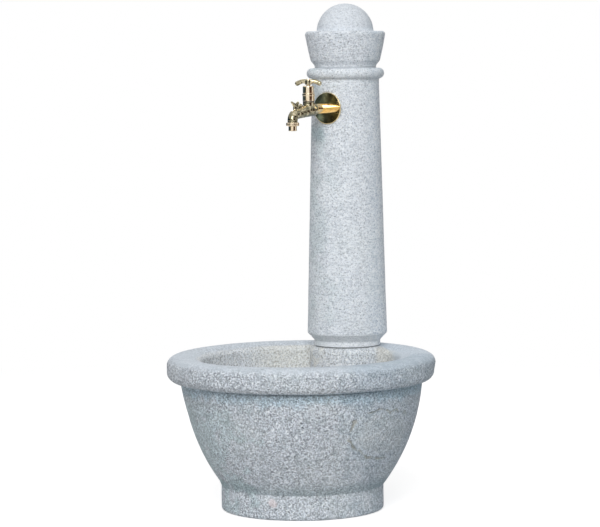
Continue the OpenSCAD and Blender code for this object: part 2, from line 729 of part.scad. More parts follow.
module headwork() color(brass) translate([0, spindle_y, 0]) difference() {
    union() {
        translate([0, 0, neck_z - head_thread_len])
            cylinder(r = head_thread_r, h = head_z - neck_z + head_thread_len);
        translate([0, 0, head_z]) cylinder(r = neck_tap_r, h = head_h);
        translate([0, 0, ring_z]) cylinder(r = head_ring_r, h = head_ring_h);
        translate([0, 0, boss_z]) cylinder(r = boss_r, h = boss_h);
    }
    translate([0, 0, neck_z - head_thread_len - cut])
        cylinder(r = screw_r + run_gap, h = screw_room_z - neck_z + head_thread_len + cut);
    translate([0, 0, head_z]) cylinder(r = spindle_r + run_gap, h = gland_top - head_z);
    translate([0, 0, packing_z]) cylinder(r = spindle_r + run_gap + packing_w, h = packing_h + cut);
}

module gland_packing() color(rubber)
    translate([0, spindle_y, packing_z])
        ring(spindle_r + run_gap, spindle_r + run_gap + packing_w - fit_gap, packing_h);

module gland_nut() color(brass) translate([0, spindle_y, 0]) difference() {
    union() {
        translate([0, 0, gland_z]) cylinder(r = gland_r, h = gland_h - 1.5);
        translate([0, 0, gland_top - 1.5]) cylinder(r1 = gland_r, r2 = gland_r - 1.5, h = 1.5);
    }
    translate([0, 0, gland_z - cut])
        cylinder(r = boss_r + fit_gap, h = boss_z + boss_h - gland_z + fit_gap + cut);
    translate([0, 0, gland_z]) cylinder(r = spindle_r + run_gap, h = gland_h + cut);
}

// The stem narrows to a shoulder that the handle's hub sits on
stem_top_r = spindle_r - 0.6;
handle_screw_r = 1.6;
handle_screw_len = 8;

module spindle() color(brass) translate([0, spindle_y, 0]) difference() {
    union() {
        translate([0, 0, screw_z]) cylinder(r = screw_r, h = screw_h);
        translate([0, 0, screw_z]) cylinder(r = spindle_r, h = hub_z - screw_z);
        translate([0, 0, hub_z]) cylinder(r = stem_top_r, h = stem_top - hub_z);
    }
    translate([0, 0, screw_z - cut])
        cylinder(r = jumper_stem_r + run_gap, h = jumper_top + run_gap - screw_z + cut);
    translate([0, 0, hub_z + hub_h - handle_screw_len - fit_gap])
        cylinder(r = handle_screw_r + fit_gap, h = handle_screw_len + cut);
}

stud_r = 1.8;

module jumper_valve() color(brass) translate([0, spindle_y, 0]) {
    translate([0, 0, jumper_z]) cylinder(r = jumper_r, h = jumper_t);
    translate([0, 0, jumper_z]) cylinder(r = jumper_stem_r, h = jumper_t + jumper_stem_len);
    translate([0, 0, washer_z + 0.5]) cylinder(r = stud_r, h = washer_t - 0.5);
}

module valve_washer() color(rubber)
    translate([0, spindle_y, washer_z]) ring(stud_r + fit_gap, jumper_r - 0.3, washer_t);

// The handle's arms are one shallow arch with a ball at each end
arm_z = hub_z + hub_h * 0.6;
arm_half = handle_len / 2 - handle_tip_r;
arch_r = (arm_half * arm_half + handle_droop * handle_droop) / (2 * handle_droop);
arch_half = asin(arm_half / arch_r);

module tap_handle() color(brass) translate([0, spindle_y, 0]) rotate([0, 0, handle_angle]) difference() {
    union() {
        translate([0, 0, hub_z]) cylinder(r = hub_r, h = hub_h);
        translate([0, 0, arm_z - arch_r]) rotate([0, -90, -90]) rotate([0, 0, -arch_half])
            rotate_extrude(angle = 2 * arch_half) translate([arch_r, 0]) circle(r = handle_arm_r);
        for (side = [-1, 1])
            translate([side * arm_half, 0, arm_z - handle_droop]) sphere(r = handle_tip_r);
    }
    translate([0, 0, hub_z - handle_tip_r]) cylinder(r = stem_top_r + fit_gap, h = 2 * hub_h);
}

screw_head_h = 1.8;

module handle_screw() color(brass) translate([0, spindle_y, hub_z + hub_h]) difference() {
    union() {
        cylinder(r1 = cap_screw_r, r2 = cap_screw_r - 0.6, h = screw_head_h);
        translate([0, 0, -handle_screw_len]) cylinder(r = handle_screw_r, h = handle_screw_len + cut);
    }
    rotate([0, 0, 35]) translate([-cap_screw_r, -0.4, screw_head_h - 0.8]) cube([2 * cap_screw_r, 0.8, 2]);
}

module outlet_washer() color(rubber)
    translate([0, spout_y, nozzle_top]) ring(nozzle_bore, nozzle_flange_r, outlet_washer_t);

// Turned groove next to a nut, which ends the free length that a coupling is pushed over
relief_h = 0.6;
relief_depth = 0.5;
nozzle_lead = 0.6;

module outlet_nozzle() color(brass) translate([0, spout_y, 0]) difference() {
    union() {
        translate([0, 0, nozzle_z]) cylinder(r1 = nozzle_r - nozzle_lead, r2 = nozzle_r, h = nozzle_lead);
        translate([0, 0, nozzle_z + nozzle_lead])
            cylinder(r = nozzle_r, h = nozzle_len - nozzle_lead - relief_h);
        translate([0, 0, nozzle_z]) cylinder(r = nozzle_r - relief_depth, h = nozzle_top - nozzle_z);
        translate([0, 0, nozzle_flange_z]) cylinder(r = nozzle_flange_r, h = nozzle_flange_t);
    }
    translate([0, 0, nozzle_z - cut]) cylinder(r = nozzle_bore, h = nozzle_top - nozzle_z + 2 * cut);
}

module outlet_ring_nut() color(brass) translate([0, spout_y, ring_nut_z]) difference() {
    rotate_extrude() polygon([
        [0, 0], [ring_r - 1, 0], [ring_r, 1], [ring_r, ring_h - 1], [ring_r - 1, ring_h], [0, ring_h]]);
    translate([0, 0, ring_floor]) cylinder(r = spout_r + fit_gap, h = ring_h);
    translate([0, 0, -cut]) cylinder(r = nozzle_r + fit_gap, h = ring_floor + 2 * cut);
    for (i = [0:ring_notches - 1])
        rotate([0, 0, i * 360 / ring_notches]) translate([ring_r + 1 - notch_depth, 0, -cut])
            cylinder(r = 1, h = ring_h + 2 * cut, $fn = 24);
}

module drain_flange() color(steel) difference() {
    union() {
        difference() {
            union() {
                translate([0, 0, drain_flange_z])
                    cylinder(r1 = drain_flange_r, r2 = drain_flange_r - 1, h = drain_flange_t);
                translate([0, 0, drain_z]) cylinder(r = drain_r, h = drain_top - drain_z);
            }
            translate([0, 0, drain_z - cut]) cylinder(r = drain_bore, h = drain_top - drain_z + 2 * cut);
            translate([0, 0, drain_nut_z - relief_h]) ring(drain_r - relief_depth, drain_r + cut, relief_h);
        }
        intersection() {
            translate([-drain_r, -spider_w / 2, spider_z]) cube([2 * drain_r, spider_w, spider_h]);
            cylinder(r = drain_bore + strainer_lap / 2, h = basin_h);
        }
        translate([0, 0, spider_z]) cylinder(r = spider_r, h = spider_h);
    }
    translate([0, 0, strainer_z]) cylinder(r = strainer_r + fit_gap, h = strainer_t + cut);
    translate([0, 0, spider_z - cut]) cylinder(r = strainer_screw_r + fit_gap, h = basin_h);
}

module drain_seal() color(rubber)
    translate([0, 0, drain_seat_z]) ring(drain_r + fit_gap, drain_flange_r - 1, drain_seal_t);

module drain_strainer() color(steel) translate([0, 0, strainer_z]) difference() {
    cylinder(r = strainer_r, h = strainer_t);
    translate([0, 0, -cut]) cylinder(r = strainer_screw_r + fit_gap, h = strainer_t + 2 * cut);
    for (i = [0:strainer_holes - 1])
        rotate([0, 0, (i + 0.5) * 360 / strainer_holes]) translate([strainer_ring_r, 0, -cut])
            cylinder(r = strainer_hole_r, h = strainer_t + 2 * cut, $fn = 24);
    for (i = [0:strainer_holes / 2 - 1])
        rotate([0, 0, i * 720 / strainer_holes]) translate([strainer_ring_r / 2 + 0.8, 0, -cut])
            cylinder(r = strainer_hole_r * 0.8, h = strainer_t + 2 * cut, $fn = 24);
}

module strainer_screw() color(steel) {
    translate([0, 0, drain_top])
        cylinder(r1 = strainer_screw_r + 1.6, r2 = strainer_screw_r + 0.8, h = 1.4);
    translate([0, 0, spider_z]) cylinder(r = strainer_screw_r, h = drain_top - spider_z);
}

module drain_gasket() color(rubber)
    translate([0, 0, drain_gasket_z]) ring(drain_r + fit_gap, drain_nut_af / 2, drain_seal_t);

module drain_nut() color(steel) translate([0, 0, drain_nut_z]) difference() {
    cylinder(r = drain_nut_af / 2 / cos(30), h = drain_nut_h, $fn = 6);
    translate([0, 0, -cut]) cylinder(r = drain_r + fit_gap, h = drain_nut_h + 2 * cut);
}

basin();
column_bed();
column_dowels();
column();
cap_bed();
cap_dowel();
capstone();
pipe_bushes();
riser_pipe();
inlet_fitting();
inlet_nut();
inlet_ferrule();
column_elbow();
elbow_nut();
elbow_ferrule();
tap_extension();
rosette();
tap_body();
headwork_seal();
headwork();
gland_packing();
gland_nut();
spindle();
jumper_valve();
valve_washer();
tap_handle();
handle_screw();
outlet_washer();
outlet_nozzle();
outlet_ring_nut();
drain_flange();
drain_seal();
drain_strainer();
strainer_screw();
drain_gasket();
drain_nut();
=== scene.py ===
# %% [markdown]
# # A garden fountain of granite with a brass tap
# The real one is three turned stones on top of each other: a basin on a foot ring, a tapering column and a
# cup with a ball. A small brass garden tap pours into the basin. The packed CAD model is the frame: every
# new piece takes the place of a CAD node, or a node keeps its shape and gets a better finish. So the first
# step loads that frame.

# %% Load the frame
import math

import bpy
import numpy as np
from mathutils import Matrix


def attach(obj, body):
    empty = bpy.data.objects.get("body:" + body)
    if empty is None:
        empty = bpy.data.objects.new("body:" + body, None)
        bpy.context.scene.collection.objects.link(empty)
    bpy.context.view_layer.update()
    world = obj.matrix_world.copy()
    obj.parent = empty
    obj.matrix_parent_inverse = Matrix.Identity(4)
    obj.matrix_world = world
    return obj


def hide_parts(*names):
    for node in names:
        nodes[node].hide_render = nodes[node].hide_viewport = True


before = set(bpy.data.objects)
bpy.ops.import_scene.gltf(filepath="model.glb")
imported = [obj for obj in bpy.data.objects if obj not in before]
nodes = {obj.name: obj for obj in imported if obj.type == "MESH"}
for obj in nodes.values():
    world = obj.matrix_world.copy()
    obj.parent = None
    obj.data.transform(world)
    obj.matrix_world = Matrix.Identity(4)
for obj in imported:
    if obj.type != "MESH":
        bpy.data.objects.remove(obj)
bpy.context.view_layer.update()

MM = 0.001

# %% [markdown]
# ## The camera
# The photograph was taken from about five metres away with the camera near the top of the
# column, which is why the ball shows no tilt while the rim opens up. A camera fit on the rims
# gave the place, the turn and the focal length in pixels. One matrix built from the three
# viewing directions places it, which is easier to check than a chain of turns.

# %% Camera
IMAGE_W, IMAGE_H = 600, 527
FOCAL_PX = 2658.75
SENSOR_MM = 36.0
DISTANCE, EYE_Z, ASIDE = 5.23395, 0.905534, 0.000787
AZIMUTH, PITCH, ROLL = (math.radians(a) for a in (33.8298, 4.5806, -0.5164))

right = np.array([math.cos(AZIMUTH), math.sin(AZIMUTH), 0.0])
level = np.array([-math.sin(AZIMUTH), math.cos(AZIMUTH), 0.0])
upright = np.array([0.0, 0.0, 1.0])
look = level * math.cos(PITCH) - upright * math.sin(PITCH)
over = level * math.sin(PITCH) + upright * math.cos(PITCH)
side_axis = right * math.cos(ROLL) + over * math.sin(ROLL)
top_axis = over * math.cos(ROLL) - right * math.sin(ROLL)


def new_object(name, data):
    """An object in the scene that holds that mesh, camera or lamp."""
    made = bpy.data.objects.new(name, data)
    bpy.context.scene.collection.objects.link(made)
    return made


camera = new_object("camera", bpy.data.cameras.new("camera"))
camera.data.sensor_width = SENSOR_MM
camera.data.lens = FOCAL_PX * SENSOR_MM / IMAGE_W
camera.data.clip_end = 200.0
place = Matrix([[*axis] for axis in (side_axis, top_axis, -look)]).transposed().to_4x4()
place.translation = -level * DISTANCE + right * ASIDE + upright * EYE_Z
camera.matrix_world = place
bpy.context.scene.camera = camera
print("lens", round(camera.data.lens, 2), "mm, camera at", [round(v, 3) for v in place.translation])

# %% [markdown]
# ## Shader arithmetic
# A pattern in stone is mostly sums, products and thresholds of a few noises. Written as node
# calls that is hard to read, so one small class wraps a node's output and lets Python's own
# operators add the Math nodes. Every other node comes from one method, which takes the node's
# type, its settings and the values or links of its sockets.

# %% A socket that does arithmetic, and a finish that makes nodes
class Socket:
    """An output of a shader node. Python's operators on it add Math nodes."""

    def __init__(self, finish, output):
        self.finish, self.output = finish, output

    def math(self, operation, *values):
        return self.finish.node("Math", {"operation": operation}, dict(enumerate(values)))

    def __add__(self, other):
        return self.math("ADD", self, other)

    def __mul__(self, other):
        return self.math("MULTIPLY", self, other)

    def __sub__(self, other):
        return self.math("SUBTRACT", self, other)

    def __rsub__(self, other):
        return self.math("SUBTRACT", other, self)

    def __pow__(self, other):
        return self.math("POWER", self, other)

    __radd__, __rmul__ = __add__, __mul__

    def most(self, other):
        """The larger of the two."""
        return self.math("MAXIMUM", self, other)

    def step(self, low, high):
        """0 at low and 1 at high, with a smooth rise between them. low may lie above high."""
        ends = {0: self, 1: min(low, high), 2: max(low, high)}
        rise = self.finish.node("MapRange", {"interpolation_type": "SMOOTHSTEP"}, ends)
        return rise if low < high else 1.0 - rise


class Finish:
    """A material or world whose nodes are made by one method."""

    def __init__(self, owner):
        self.owner = owner
        owner.use_nodes = True
        self.tree = owner.node_tree
        self.tree.nodes.clear()

    def node(self, kind, settings=None, sockets=None, output=0):
        """Adds a node, sets its settings and then its sockets, and gives one of its outputs."""
        made = self.tree.nodes.new("ShaderNode" + kind)
        for name, value in (settings or {}).items():
            if name == "stops":
                while len(made.color_ramp.elements) < len(value):
                    made.color_ramp.elements.new(1.0)
                for element, (where, colour) in zip(made.color_ramp.elements, value):
                    element.position, element.color = where, (*colour, 1.0)
            else:
                setattr(made, name, value)
        for name, value in (sockets or {}).items():
            if isinstance(value, Socket):
                self.tree.links.new(value.output, made.inputs[name])
            else:
                made.inputs[name].default_value = value
        return Socket(self, made.outputs[output]) if made.outputs else None

    def mix(self, factor, a, b, blend="MIX"):
        """Colour a going to colour b as the factor goes from 0 to 1."""
        a, b = (c if isinstance(c, Socket) else (*c, 1.0) for c in (a, b))
        settings = {"data_type": "RGBA", "blend_type": blend}
        return self.node("Mix", settings, {0: factor, 6: a, 7: b}, output=2)

    def coats(self, colour, *coats):
        """The colour with coats laid on in turn: each a mask, a tone and perhaps a way to blend."""
        for mask, tone, *blend in coats:
            colour = self.mix(mask, colour, tone, *blend)
        return colour

    def place(self):
        """The point on the object, in metres, and its x, y and z."""
        point = self.node("TexCoord", output=3)
        split = self.node("SeparateXYZ", sockets={0: point}).output.node
        return point, [Socket(self, out) for out in split.outputs]

    def vector(self, operation, a, b):
        return self.node("VectorMath", {"operation": operation}, {0: a, 1: b})

    def noise(self, point, size, detail=2.0, rough=0.5, output=0):
        """Noise from 0 to 1 with lumps of about that size, in metres."""
        sockets = {"Vector": point, "Scale": 1.0 / size, "Detail": detail, "Roughness": rough}
        return self.node("TexNoise", sockets=sockets, output=output)

    def cells(self, point, size):
        """A random number from 0 to 1 for each grain of about that size, in metres."""
        grains = self.node("TexVoronoi", sockets={"Vector": point, "Scale": 1.0 / size}, output=1)
        return self.node("SeparateColor", sockets={0: grains})

    def bump(self, height, distance):
        """Bent normals, as from a relief that is that distance deep, in metres, where height is 1."""
        return self.node("Bump", sockets={"Strength": 1.0, "Distance": distance, "Height": height})

    def surface(self, **inputs):
        """Ends the tree in a Principled shader. An underscore in a name stands for a space."""
        inputs = {name.replace("_", " "): value for name, value in inputs.items()}
        self.node("OutputMaterial", sockets={0: self.node("BsdfPrincipled", sockets=inputs)})
        return self.owner


def material(name):
    return Finish(bpy.data.materials.new(name))


print("shader helpers:", ", ".join(name for name in vars(Finish) if name[0] != "_"))

# %% [markdown]
# ## Granite
# The stone is a light granite: white feldspar, grey quartz and small dark flakes of mica, each
# grain one to three millimetres wide. A painted picture of it could not go round a turned stone
# without a seam, so the grains are Voronoi cells in the stone's own three dimensions, which run
# through it as the real grains do. Two sizes of cell and a wobble on their edges keep it from
# looking like a mosaic. The hammer leaves a crust of small pits that are darker than the face.

# %% Granite grain
MICA, FELDSPAR = (0.10, 0.11, 0.12), (0.92, 0.955, 0.99)
GRAIN, SUBGRAIN, FLAKE = 0.0024, 0.0013, 0.0019
PIT, DUST, CLOUD, STAIN = 0.0032, 0.0016, 0.07, 0.11
WOBBLE_SIZE, WOBBLE = 0.0022, 0.0020
STONE_RELIEF = 0.0018


def shades(tone, *factors):
    """The tone made darker or lighter by each factor, as far as the white of feldspar."""
    return [tuple(min(c * f, most) for c, most in zip(tone, FELDSPAR)) for f in factors]


def granite(name, tone, contrast, pits, dress):
    """Granite of that mean colour. contrast spreads its grains apart, pits deepens the hammer's marks, and
    dress(stone, point, xyz, colour, height) adds one stone's own marks and its painted light and shade."""
    stone = material(name)
    point, xyz = stone.place()
    wobble = stone.vector("MULTIPLY", stone.noise(point, WOBBLE_SIZE, 3.0, output=1), (WOBBLE,) * 3)
    warped = stone.vector("ADD", point, wobble)
    mineral = 0.62 * stone.cells(warped, GRAIN) + 0.38 * stone.cells(warped, SUBGRAIN)
    tones = shades(tone, 1 - 0.62 * contrast, 1 - 0.28 * contrast, 1.02, 1 + 0.42 * contrast)
    stops = list(zip((0.14, 0.34, 0.56, 0.84), tones))
    flakes = stone.cells(warped, FLAKE).step(0.90, 0.925)
    crust = stone.noise(point, PIT, 2.0, 0.55)
    colour = stone.coats(
        stone.node("ValToRGB", {"stops": stops}, {0: mineral}),
        (flakes * (0.85 * contrast), MICA),
        (crust.step(0.50, 0.38) * pits, shades(tone, 0.34)[0]),
        (crust.step(0.56, 0.70) * (0.45 * pits), FELDSPAR),
        (stone.noise(point, CLOUD, 3.0).step(0.40, 0.66) * 0.10, shades(tone, 0.62)[0]),
        (stone.noise(point, STAIN, 1.0).step(0.45, 0.7) * 0.10, (tone[0] * 0.98, tone[1], tone[2] * 0.86)))
    height = crust * (0.5 + pits) + 0.35 * stone.noise(point, DUST, 1.0)
    colour, height = dress(stone, point, xyz, colour, height)
    return stone.surface(
        Base_Color=colour, Normal=stone.bump(height, STONE_RELIEF), Specular_IOR_Level=0.3,
        Roughness=0.80 + 0.14 * stone.noise(point, 0.004))


print("grains of", [round(1000 * size, 1) for size in (GRAIN, SUBGRAIN, FLAKE)], "mm")

# %% [markdown]
# ## What turning left on the column, and painted light and shade
# The column and its cup were turned, so short level lines run round them. A noise squeezed in height looks
# like that without a line being drawn. Each stone has marks of its own as well: darker clouds and a ball
# that is rubbed smooth. Painted light and shade go on too: a painted shadow under the tap, a foot and a
# neck lightened by painted light, and a painted bluish sky light on the right. Each mark is a mask made
# from the place on the stone, so it stays put from every side, and the coats of colour go on in turn.
# MULTIPLY and SCREEN darken and lighten a stone without hiding its grains, where a plain mix towards one
# colour would cover them.

# %% Marks on the column and the cup
FRONT_X, FRONT_Y = 0.83, 0.56
COLUMN_Y = 172.0
TURNING, GROOVE = 0.0027, 0.22
# The tone of painted light that lifts the shade under the column's bevel and under the cup.
PAINTED_LIGHT_TONE = (0.62, 0.68, 0.72)


def across_front(x, y):
    """How far to the right a place lies, for someone who faces the tap at an angle of 34
    degrees: x cos 34 + y sin 34. It takes sockets and arrays alike."""
    return x * FRONT_X + y * FRONT_Y


def from_spot(aside, above):
    """The distance from a spot, sqrt(a^2 + b^2)."""
    return (aside**2.0 + above**2.0) ** 0.5


def turning_marks_and_sky_light(stone, point, xyz, colour, strength):
    """Noise stretched three times as wide as high lies in short level lines, and a painted bluish sky light
    lies on the stone's right side. Gives the colour, the grooves and how far across each place is."""
    lines = stone.noise(stone.vector("MULTIPLY", point, (0.3, 0.3, 1.0)), TURNING, 2.0, 0.6)
    groove = lines.step(0.50, 0.38) * stone.noise(point, 0.02, 2.0).step(0.25, 0.55)
    across = across_front(xyz[0], xyz[1] - COLUMN_Y * MM)
    colour = stone.coats(
        colour,
        (groove * (0.26 * strength), (0.40, 0.45, 0.49)),
        (lines.step(0.52, 0.62) * (0.32 * strength), FELDSPAR),
        # painted light: a bluish sky light on the right side of the stone
        (across.step(0.028, 0.062), (0.0, 0.09, 0.20), "SCREEN"))
    return colour, groove, across


def shaft_marks_and_painted_light(stone, point, xyz, colour, height):
    """The shaft also has darker clouds on its left, a painted shadow under the tap and a foot lightened by
    painted light.
    """
    _, y, z = xyz
    colour, groove, across = turning_marks_and_sky_light(stone, point, xyz, colour, 1.0)
    cloud = stone.noise(point, 0.045, 3.0).step(0.46, 0.66) * across.step(0.0, -0.05)
    # Painted shadow of the tap, on the shaft just below and left of it.
    dark_patch = from_spot(across + 0.055, z - 0.740) + 0.03 * (stone.noise(point, 0.012, 3.0) - 0.5)
    colour = stone.coats(
        colour,
        (cloud * 0.85, (0.86, 0.90, 0.89), "MULTIPLY"),
        # painted shadow under the tap
        (dark_patch.step(0.024, 0.008) * y.step(0.17, 0.13) * 0.8, (0.64, 0.74, 0.75), "MULTIPLY"),
        # painted light on the foot below the bevel, against the bevel's shade
        (z.step(0.3370, 0.3335) * 0.60, PAINTED_LIGHT_TONE, "SCREEN"))
    return colour, height - groove * GROOVE


def rubbed_ball_and_lit_neck(stone, point, xyz, colour, height):
    """The ball is rubbed finer and paler than the cup's side, and painted light makes the neck pale,
    against the shade under the cup.
    """
    z = xyz[2]
    colour, groove, _ = turning_marks_and_sky_light(stone, point, xyz, colour, 1.2)
    ball = z.step(0.9430, 0.9460)
    pale = stone.mix(stone.noise(point, 0.004, 3.0), (0.62, 0.665, 0.72), (0.70, 0.745, 0.79))
    colour = stone.coats(
        # painted light: the neck under the cup is lightened, against the cup's shade
        colour, (z.step(0.8830, 0.8770) * 0.42, PAINTED_LIGHT_TONE, "SCREEN"), (ball * 0.46, pale))
    return colour, (height - groove * GROOVE) * (1.0 - 0.5 * ball)


granite_shaft = granite("granite_shaft", (0.845, 0.905, 0.985), 0.57, 0.27, shaft_marks_and_painted_light)
granite_cap = granite("granite_cap", (0.84, 0.90, 0.985), 0.66, 0.34, rubbed_ball_and_lit_neck)
print("granite:", granite_shaft.name, granite_cap.name)

# %% [markdown]
# ## Surfaces from formulas
# The stones and the turned brass are surfaces of revolution, and the rest are profiles that
# travel along a path. Both give a grid of points, so one function lays faces over any grid.
# The columns go round, and the rows run along the profile or the path. Whole arrays are worked
# out at once, so no loop touches a single point.

# %% Turned and swept grids
def turned(profile, cols=96):
    """A profile of (r, z) carried round the z axis: x = r cos a, y = r sin a, z = z."""
    r, z = np.asarray(profile, float).T[:, :, None]
    a = 2.0 * np.pi * np.arange(cols) / cols
    return np.stack([r * np.cos(a), r * np.sin(a), z + 0.0 * a], -1)


def swept(path, radii, side, cols):
    """An oval carried along a path. At each point it stands across the path: one half-axis lies
    along the side direction and the other is square to that and to the path."""
    path, radii, side = (np.asarray(v, float) for v in (path, radii, side))
    tangent = np.gradient(path, axis=0)
    other = np.cross(tangent / np.linalg.norm(tangent, axis=1)[:, None], side)
    a = (2.0 * np.pi * np.arange(cols) / cols)[None, :, None]
    sideways = radii[:, None, :1] * np.cos(a) * side
    return path[:, None] + sideways + radii[:, None, 1:] * np.sin(a) * other[:, None]


def eased(profile, ease, ring=False):
    """A polyline with each corner p cut back to a and b and bridged by the curve
    (1-t)^2 a + 2t(1-t) p + t^2 b. On an open one the two end points stay."""
    p = np.asarray(profile, float)
    sides = (np.roll(p, 1, 0) - p, np.roll(p, -1, 0) - p)
    share = [np.minimum(ease / np.linalg.norm(d, axis=1).clip(1e-9), 0.45)[:, None] for d in sides]
    a, b = (p + d * part for d, part in zip(sides, share))
    t = np.linspace(0.0, 1.0, 5)[None, :, None]
    curve = (1 - t) ** 2 * a[:, None] + 2 * t * (1 - t) * p[:, None] + t**2 * b[:, None]
    return curve.reshape(-1, 2) if ring else np.vstack([p[:1], curve[1:-1].reshape(-1, 2), p[-1:]])


def arc(mid, r, start, end, n=9):
    """n points on a circle in the profile plane, from one angle in degrees to another."""
    a = np.radians(np.linspace(start, end, n))[:, None]
    return np.asarray(mid) + r * np.hstack([np.cos(a), np.sin(a)])


print("a ball as a turned grid:", turned(arc((0.0, 0.0), 10.0, -80.0, 80.0)).shape)

# %% [markdown]
# ## From a grid to a piece
# The rows of a grid either close on a pole at each end or join up in a ring, so each mesh is closed and its
# faces point outwards. One function lays the faces over any grid. Another gives a piece its material, the
# body that it rides on and the CAD nodes that it stands for, so that no piece misses a step. Holes are cut
# with Boolean modifiers, applied at once: cut holes stay crisp at any density, where holes built into the
# grid would need their own rows. The manifold solver wants closed meshes and is quick, and all of these are
# closed.
# Grids are in millimetres, as the drawings of such parts are, and a mesh is in metres.

# %% Skin, fit and cut
SHARP = 35.0


def shaded(mesh, sharp=SHARP):
    """Smooth shading, apart from edges that turn by more than that many degrees."""
    mesh.shade_smooth()
    mesh.set_sharp_from_angle(angle=math.radians(sharp))


def skin(name, grid, ring=False, sharp=SHARP):
    """An object whose mesh goes through a grid of points in millimetres. Each square of the
    grid is a face, and a grid that isn't a ring closes on the mean of its first and last row."""
    rows, cols = grid.shape[:2]
    points = grid.reshape(-1, 3)
    i, j = np.meshgrid(np.arange(rows if ring else rows - 1), np.arange(cols), indexing="ij")
    up, on = (i + 1) % rows, (j + 1) % cols
    corners = (i * cols + j, i * cols + on, up * cols + on, up * cols + j)
    faces = np.stack(corners, -1).reshape(-1, 4).tolist()
    if not ring:
        j, top = np.arange(cols), (rows - 1) * cols
        on, pole = (j + 1) % cols, np.full(cols, rows * cols)
        faces += np.stack([pole, on, j], -1).tolist()
        faces += np.stack([top + j, top + on, pole + 1], -1).tolist()
        points = np.vstack([points, grid[0].mean(0), grid[-1].mean(0)])
    mesh = bpy.data.meshes.new(name)
    mesh.from_pydata(points * MM, [], faces)
    shaded(mesh, sharp)
    return new_object(name, mesh)


def fit(made, finish, slot, body, *replaced):
    """Gives a finished piece its material and body, and hides the CAD nodes it stands for. slot is not
    used.
    """
    made.data.materials.clear()
    made.data.materials.append(finish)
    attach(made, body)
    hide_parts(*replaced)
    triangles = sum(len(p.vertices) - 2 for p in made.data.polygons)
    print(f"{made.name}: {triangles} triangles for {', '.join(replaced)}")
    return made


def finished(made):
    """Applies a piece's modifiers, so that what follows works on its final mesh."""
    seen = made.evaluated_get(bpy.context.evaluated_depsgraph_get())
    mesh = bpy.data.meshes.new_from_object(seen)
    made.modifiers.clear()
    made.data = mesh
    return made


def cut(made, *cutters, operation="DIFFERENCE"):
    """Takes closed cutters away from a closed piece, or joins them to it."""
    for cutter in cutters:
        made.modifiers.new("cut", "BOOLEAN").object = cutter
        made.modifiers[-1].operation = operation
        made.modifiers[-1].solver = "MANIFOLD"
    shaded(finished(made).data)
    for cutter in cutters:
        bpy.data.objects.remove(cutter)
    return made


def rod(name, x, y, r, low, high, cols=64):
    """A closed upright cylinder, to cut with or to join."""
    return skin(name, turned([(r, low), (r, high)], cols) + (x, y, 0.0))


print("edges sharper than", SHARP, "degrees stay crisp")

# %% [markdown]
# ## Hand work in the stone
# No edge or face on the real stones is machine-true: a mason's faces wander by a few tenths of
# a millimetre. Sculpting that by hand would not survive a change of size, so it is a smooth
# noise worked out in numpy: random numbers on a coarse lattice, blended between its points.
# The surface only ever moves inwards, so the stone stays inside its CAD solid.

# %% Lattice noise and grid normals
LATTICE, FAR = 24, 1000.0


def lattice_noise(points, size, seed):
    """Random numbers on a lattice of that size, with a smooth blend 3t^2 - 2t^3 between points.
    The table repeats after 24 steps, and FAR keeps every place on its positive side."""
    table = np.random.default_rng(seed).random((LATTICE,) * 3)
    where = points / size + FAR
    low = np.floor(where).astype(int)
    t = where - low
    t = t * t * (3.0 - 2.0 * t)
    total = 0.0
    for corner in range(8):
        step = np.array([corner >> 2, corner >> 1 & 1, corner & 1])
        value = table[tuple(np.moveaxis((low + step) % LATTICE, -1, 0))]
        total = total + value * np.prod(np.where(step, t, 1.0 - t), -1)
    return total


def outward(grid, ring=False):
    """Unit normals of a grid: the cross product of its steps round and its steps up."""
    around = np.roll(grid, -1, 1) - np.roll(grid, 1, 1)
    along = np.roll(grid, -1, 0) - np.roll(grid, 1, 0) if ring else np.gradient(grid, axis=0)
    normal = np.cross(around, along)
    return normal / np.linalg.norm(normal, axis=-1, keepdims=True).clip(1e-12)


def worn(grid, depth, size, seed, ring=False):
    """The grid moved inwards along its normals by up to that depth."""
    return grid - outward(grid, ring) * (depth * lattice_noise(grid, size, seed))[..., None]


def refined(profile, step):
    """Points at equal steps of length along a polyline."""
    p = np.asarray(profile, float)
    length = np.concatenate([[0.0], np.cumsum(np.linalg.norm(np.diff(p, axis=0), axis=1))])
    at = np.linspace(0.0, length[-1], int(length[-1] / step) + 1)
    return np.stack([np.interp(at, length, p[:, k]) for k in (0, 1)], -1)


print("noise range:", lattice_noise(np.zeros((1, 3)), 10.0, 1).round(3))

# %% [markdown]
# ## The column
# The shaft tapers from a bevelled foot to a half-round collar, and turning left level lines in
# it about five millimetres apart. The lines are real grooves in the grid, so that they show in
# the outline and take the light. The bore for the pipe, the pin holes and the flat behind the
# rosette are cut from it afterwards, as in the real stone.

# %% Column stone
STONE_COLS = 176
TAP_Z, SEAT_Y = 790.0, 105.968
LINE_PITCH, LINE_DEPTH = 5.0, 0.24
LINES_FROM, LINES_TO = 339.0, 846.0
BORE_R, SHANK_R, FLAT_R = 25.0, 9.65, 33.5
PIN_X, PIN_R, PIN_TOP, CAP_PIN_R = 46.0, 5.2, 350.2, 6.2


def on_column(grid):
    """Moves a grid drawn round the origin back to the column's axis."""
    return grid + (0.0, COLUMN_Y, 0.0)


def along_tap(grid, y):
    """Turns a grid drawn upwards to point out of the column, towards -y, from that y."""
    return grid[..., (0, 2, 1)] * (1, -1, 1) + (0, y, TAP_Z)


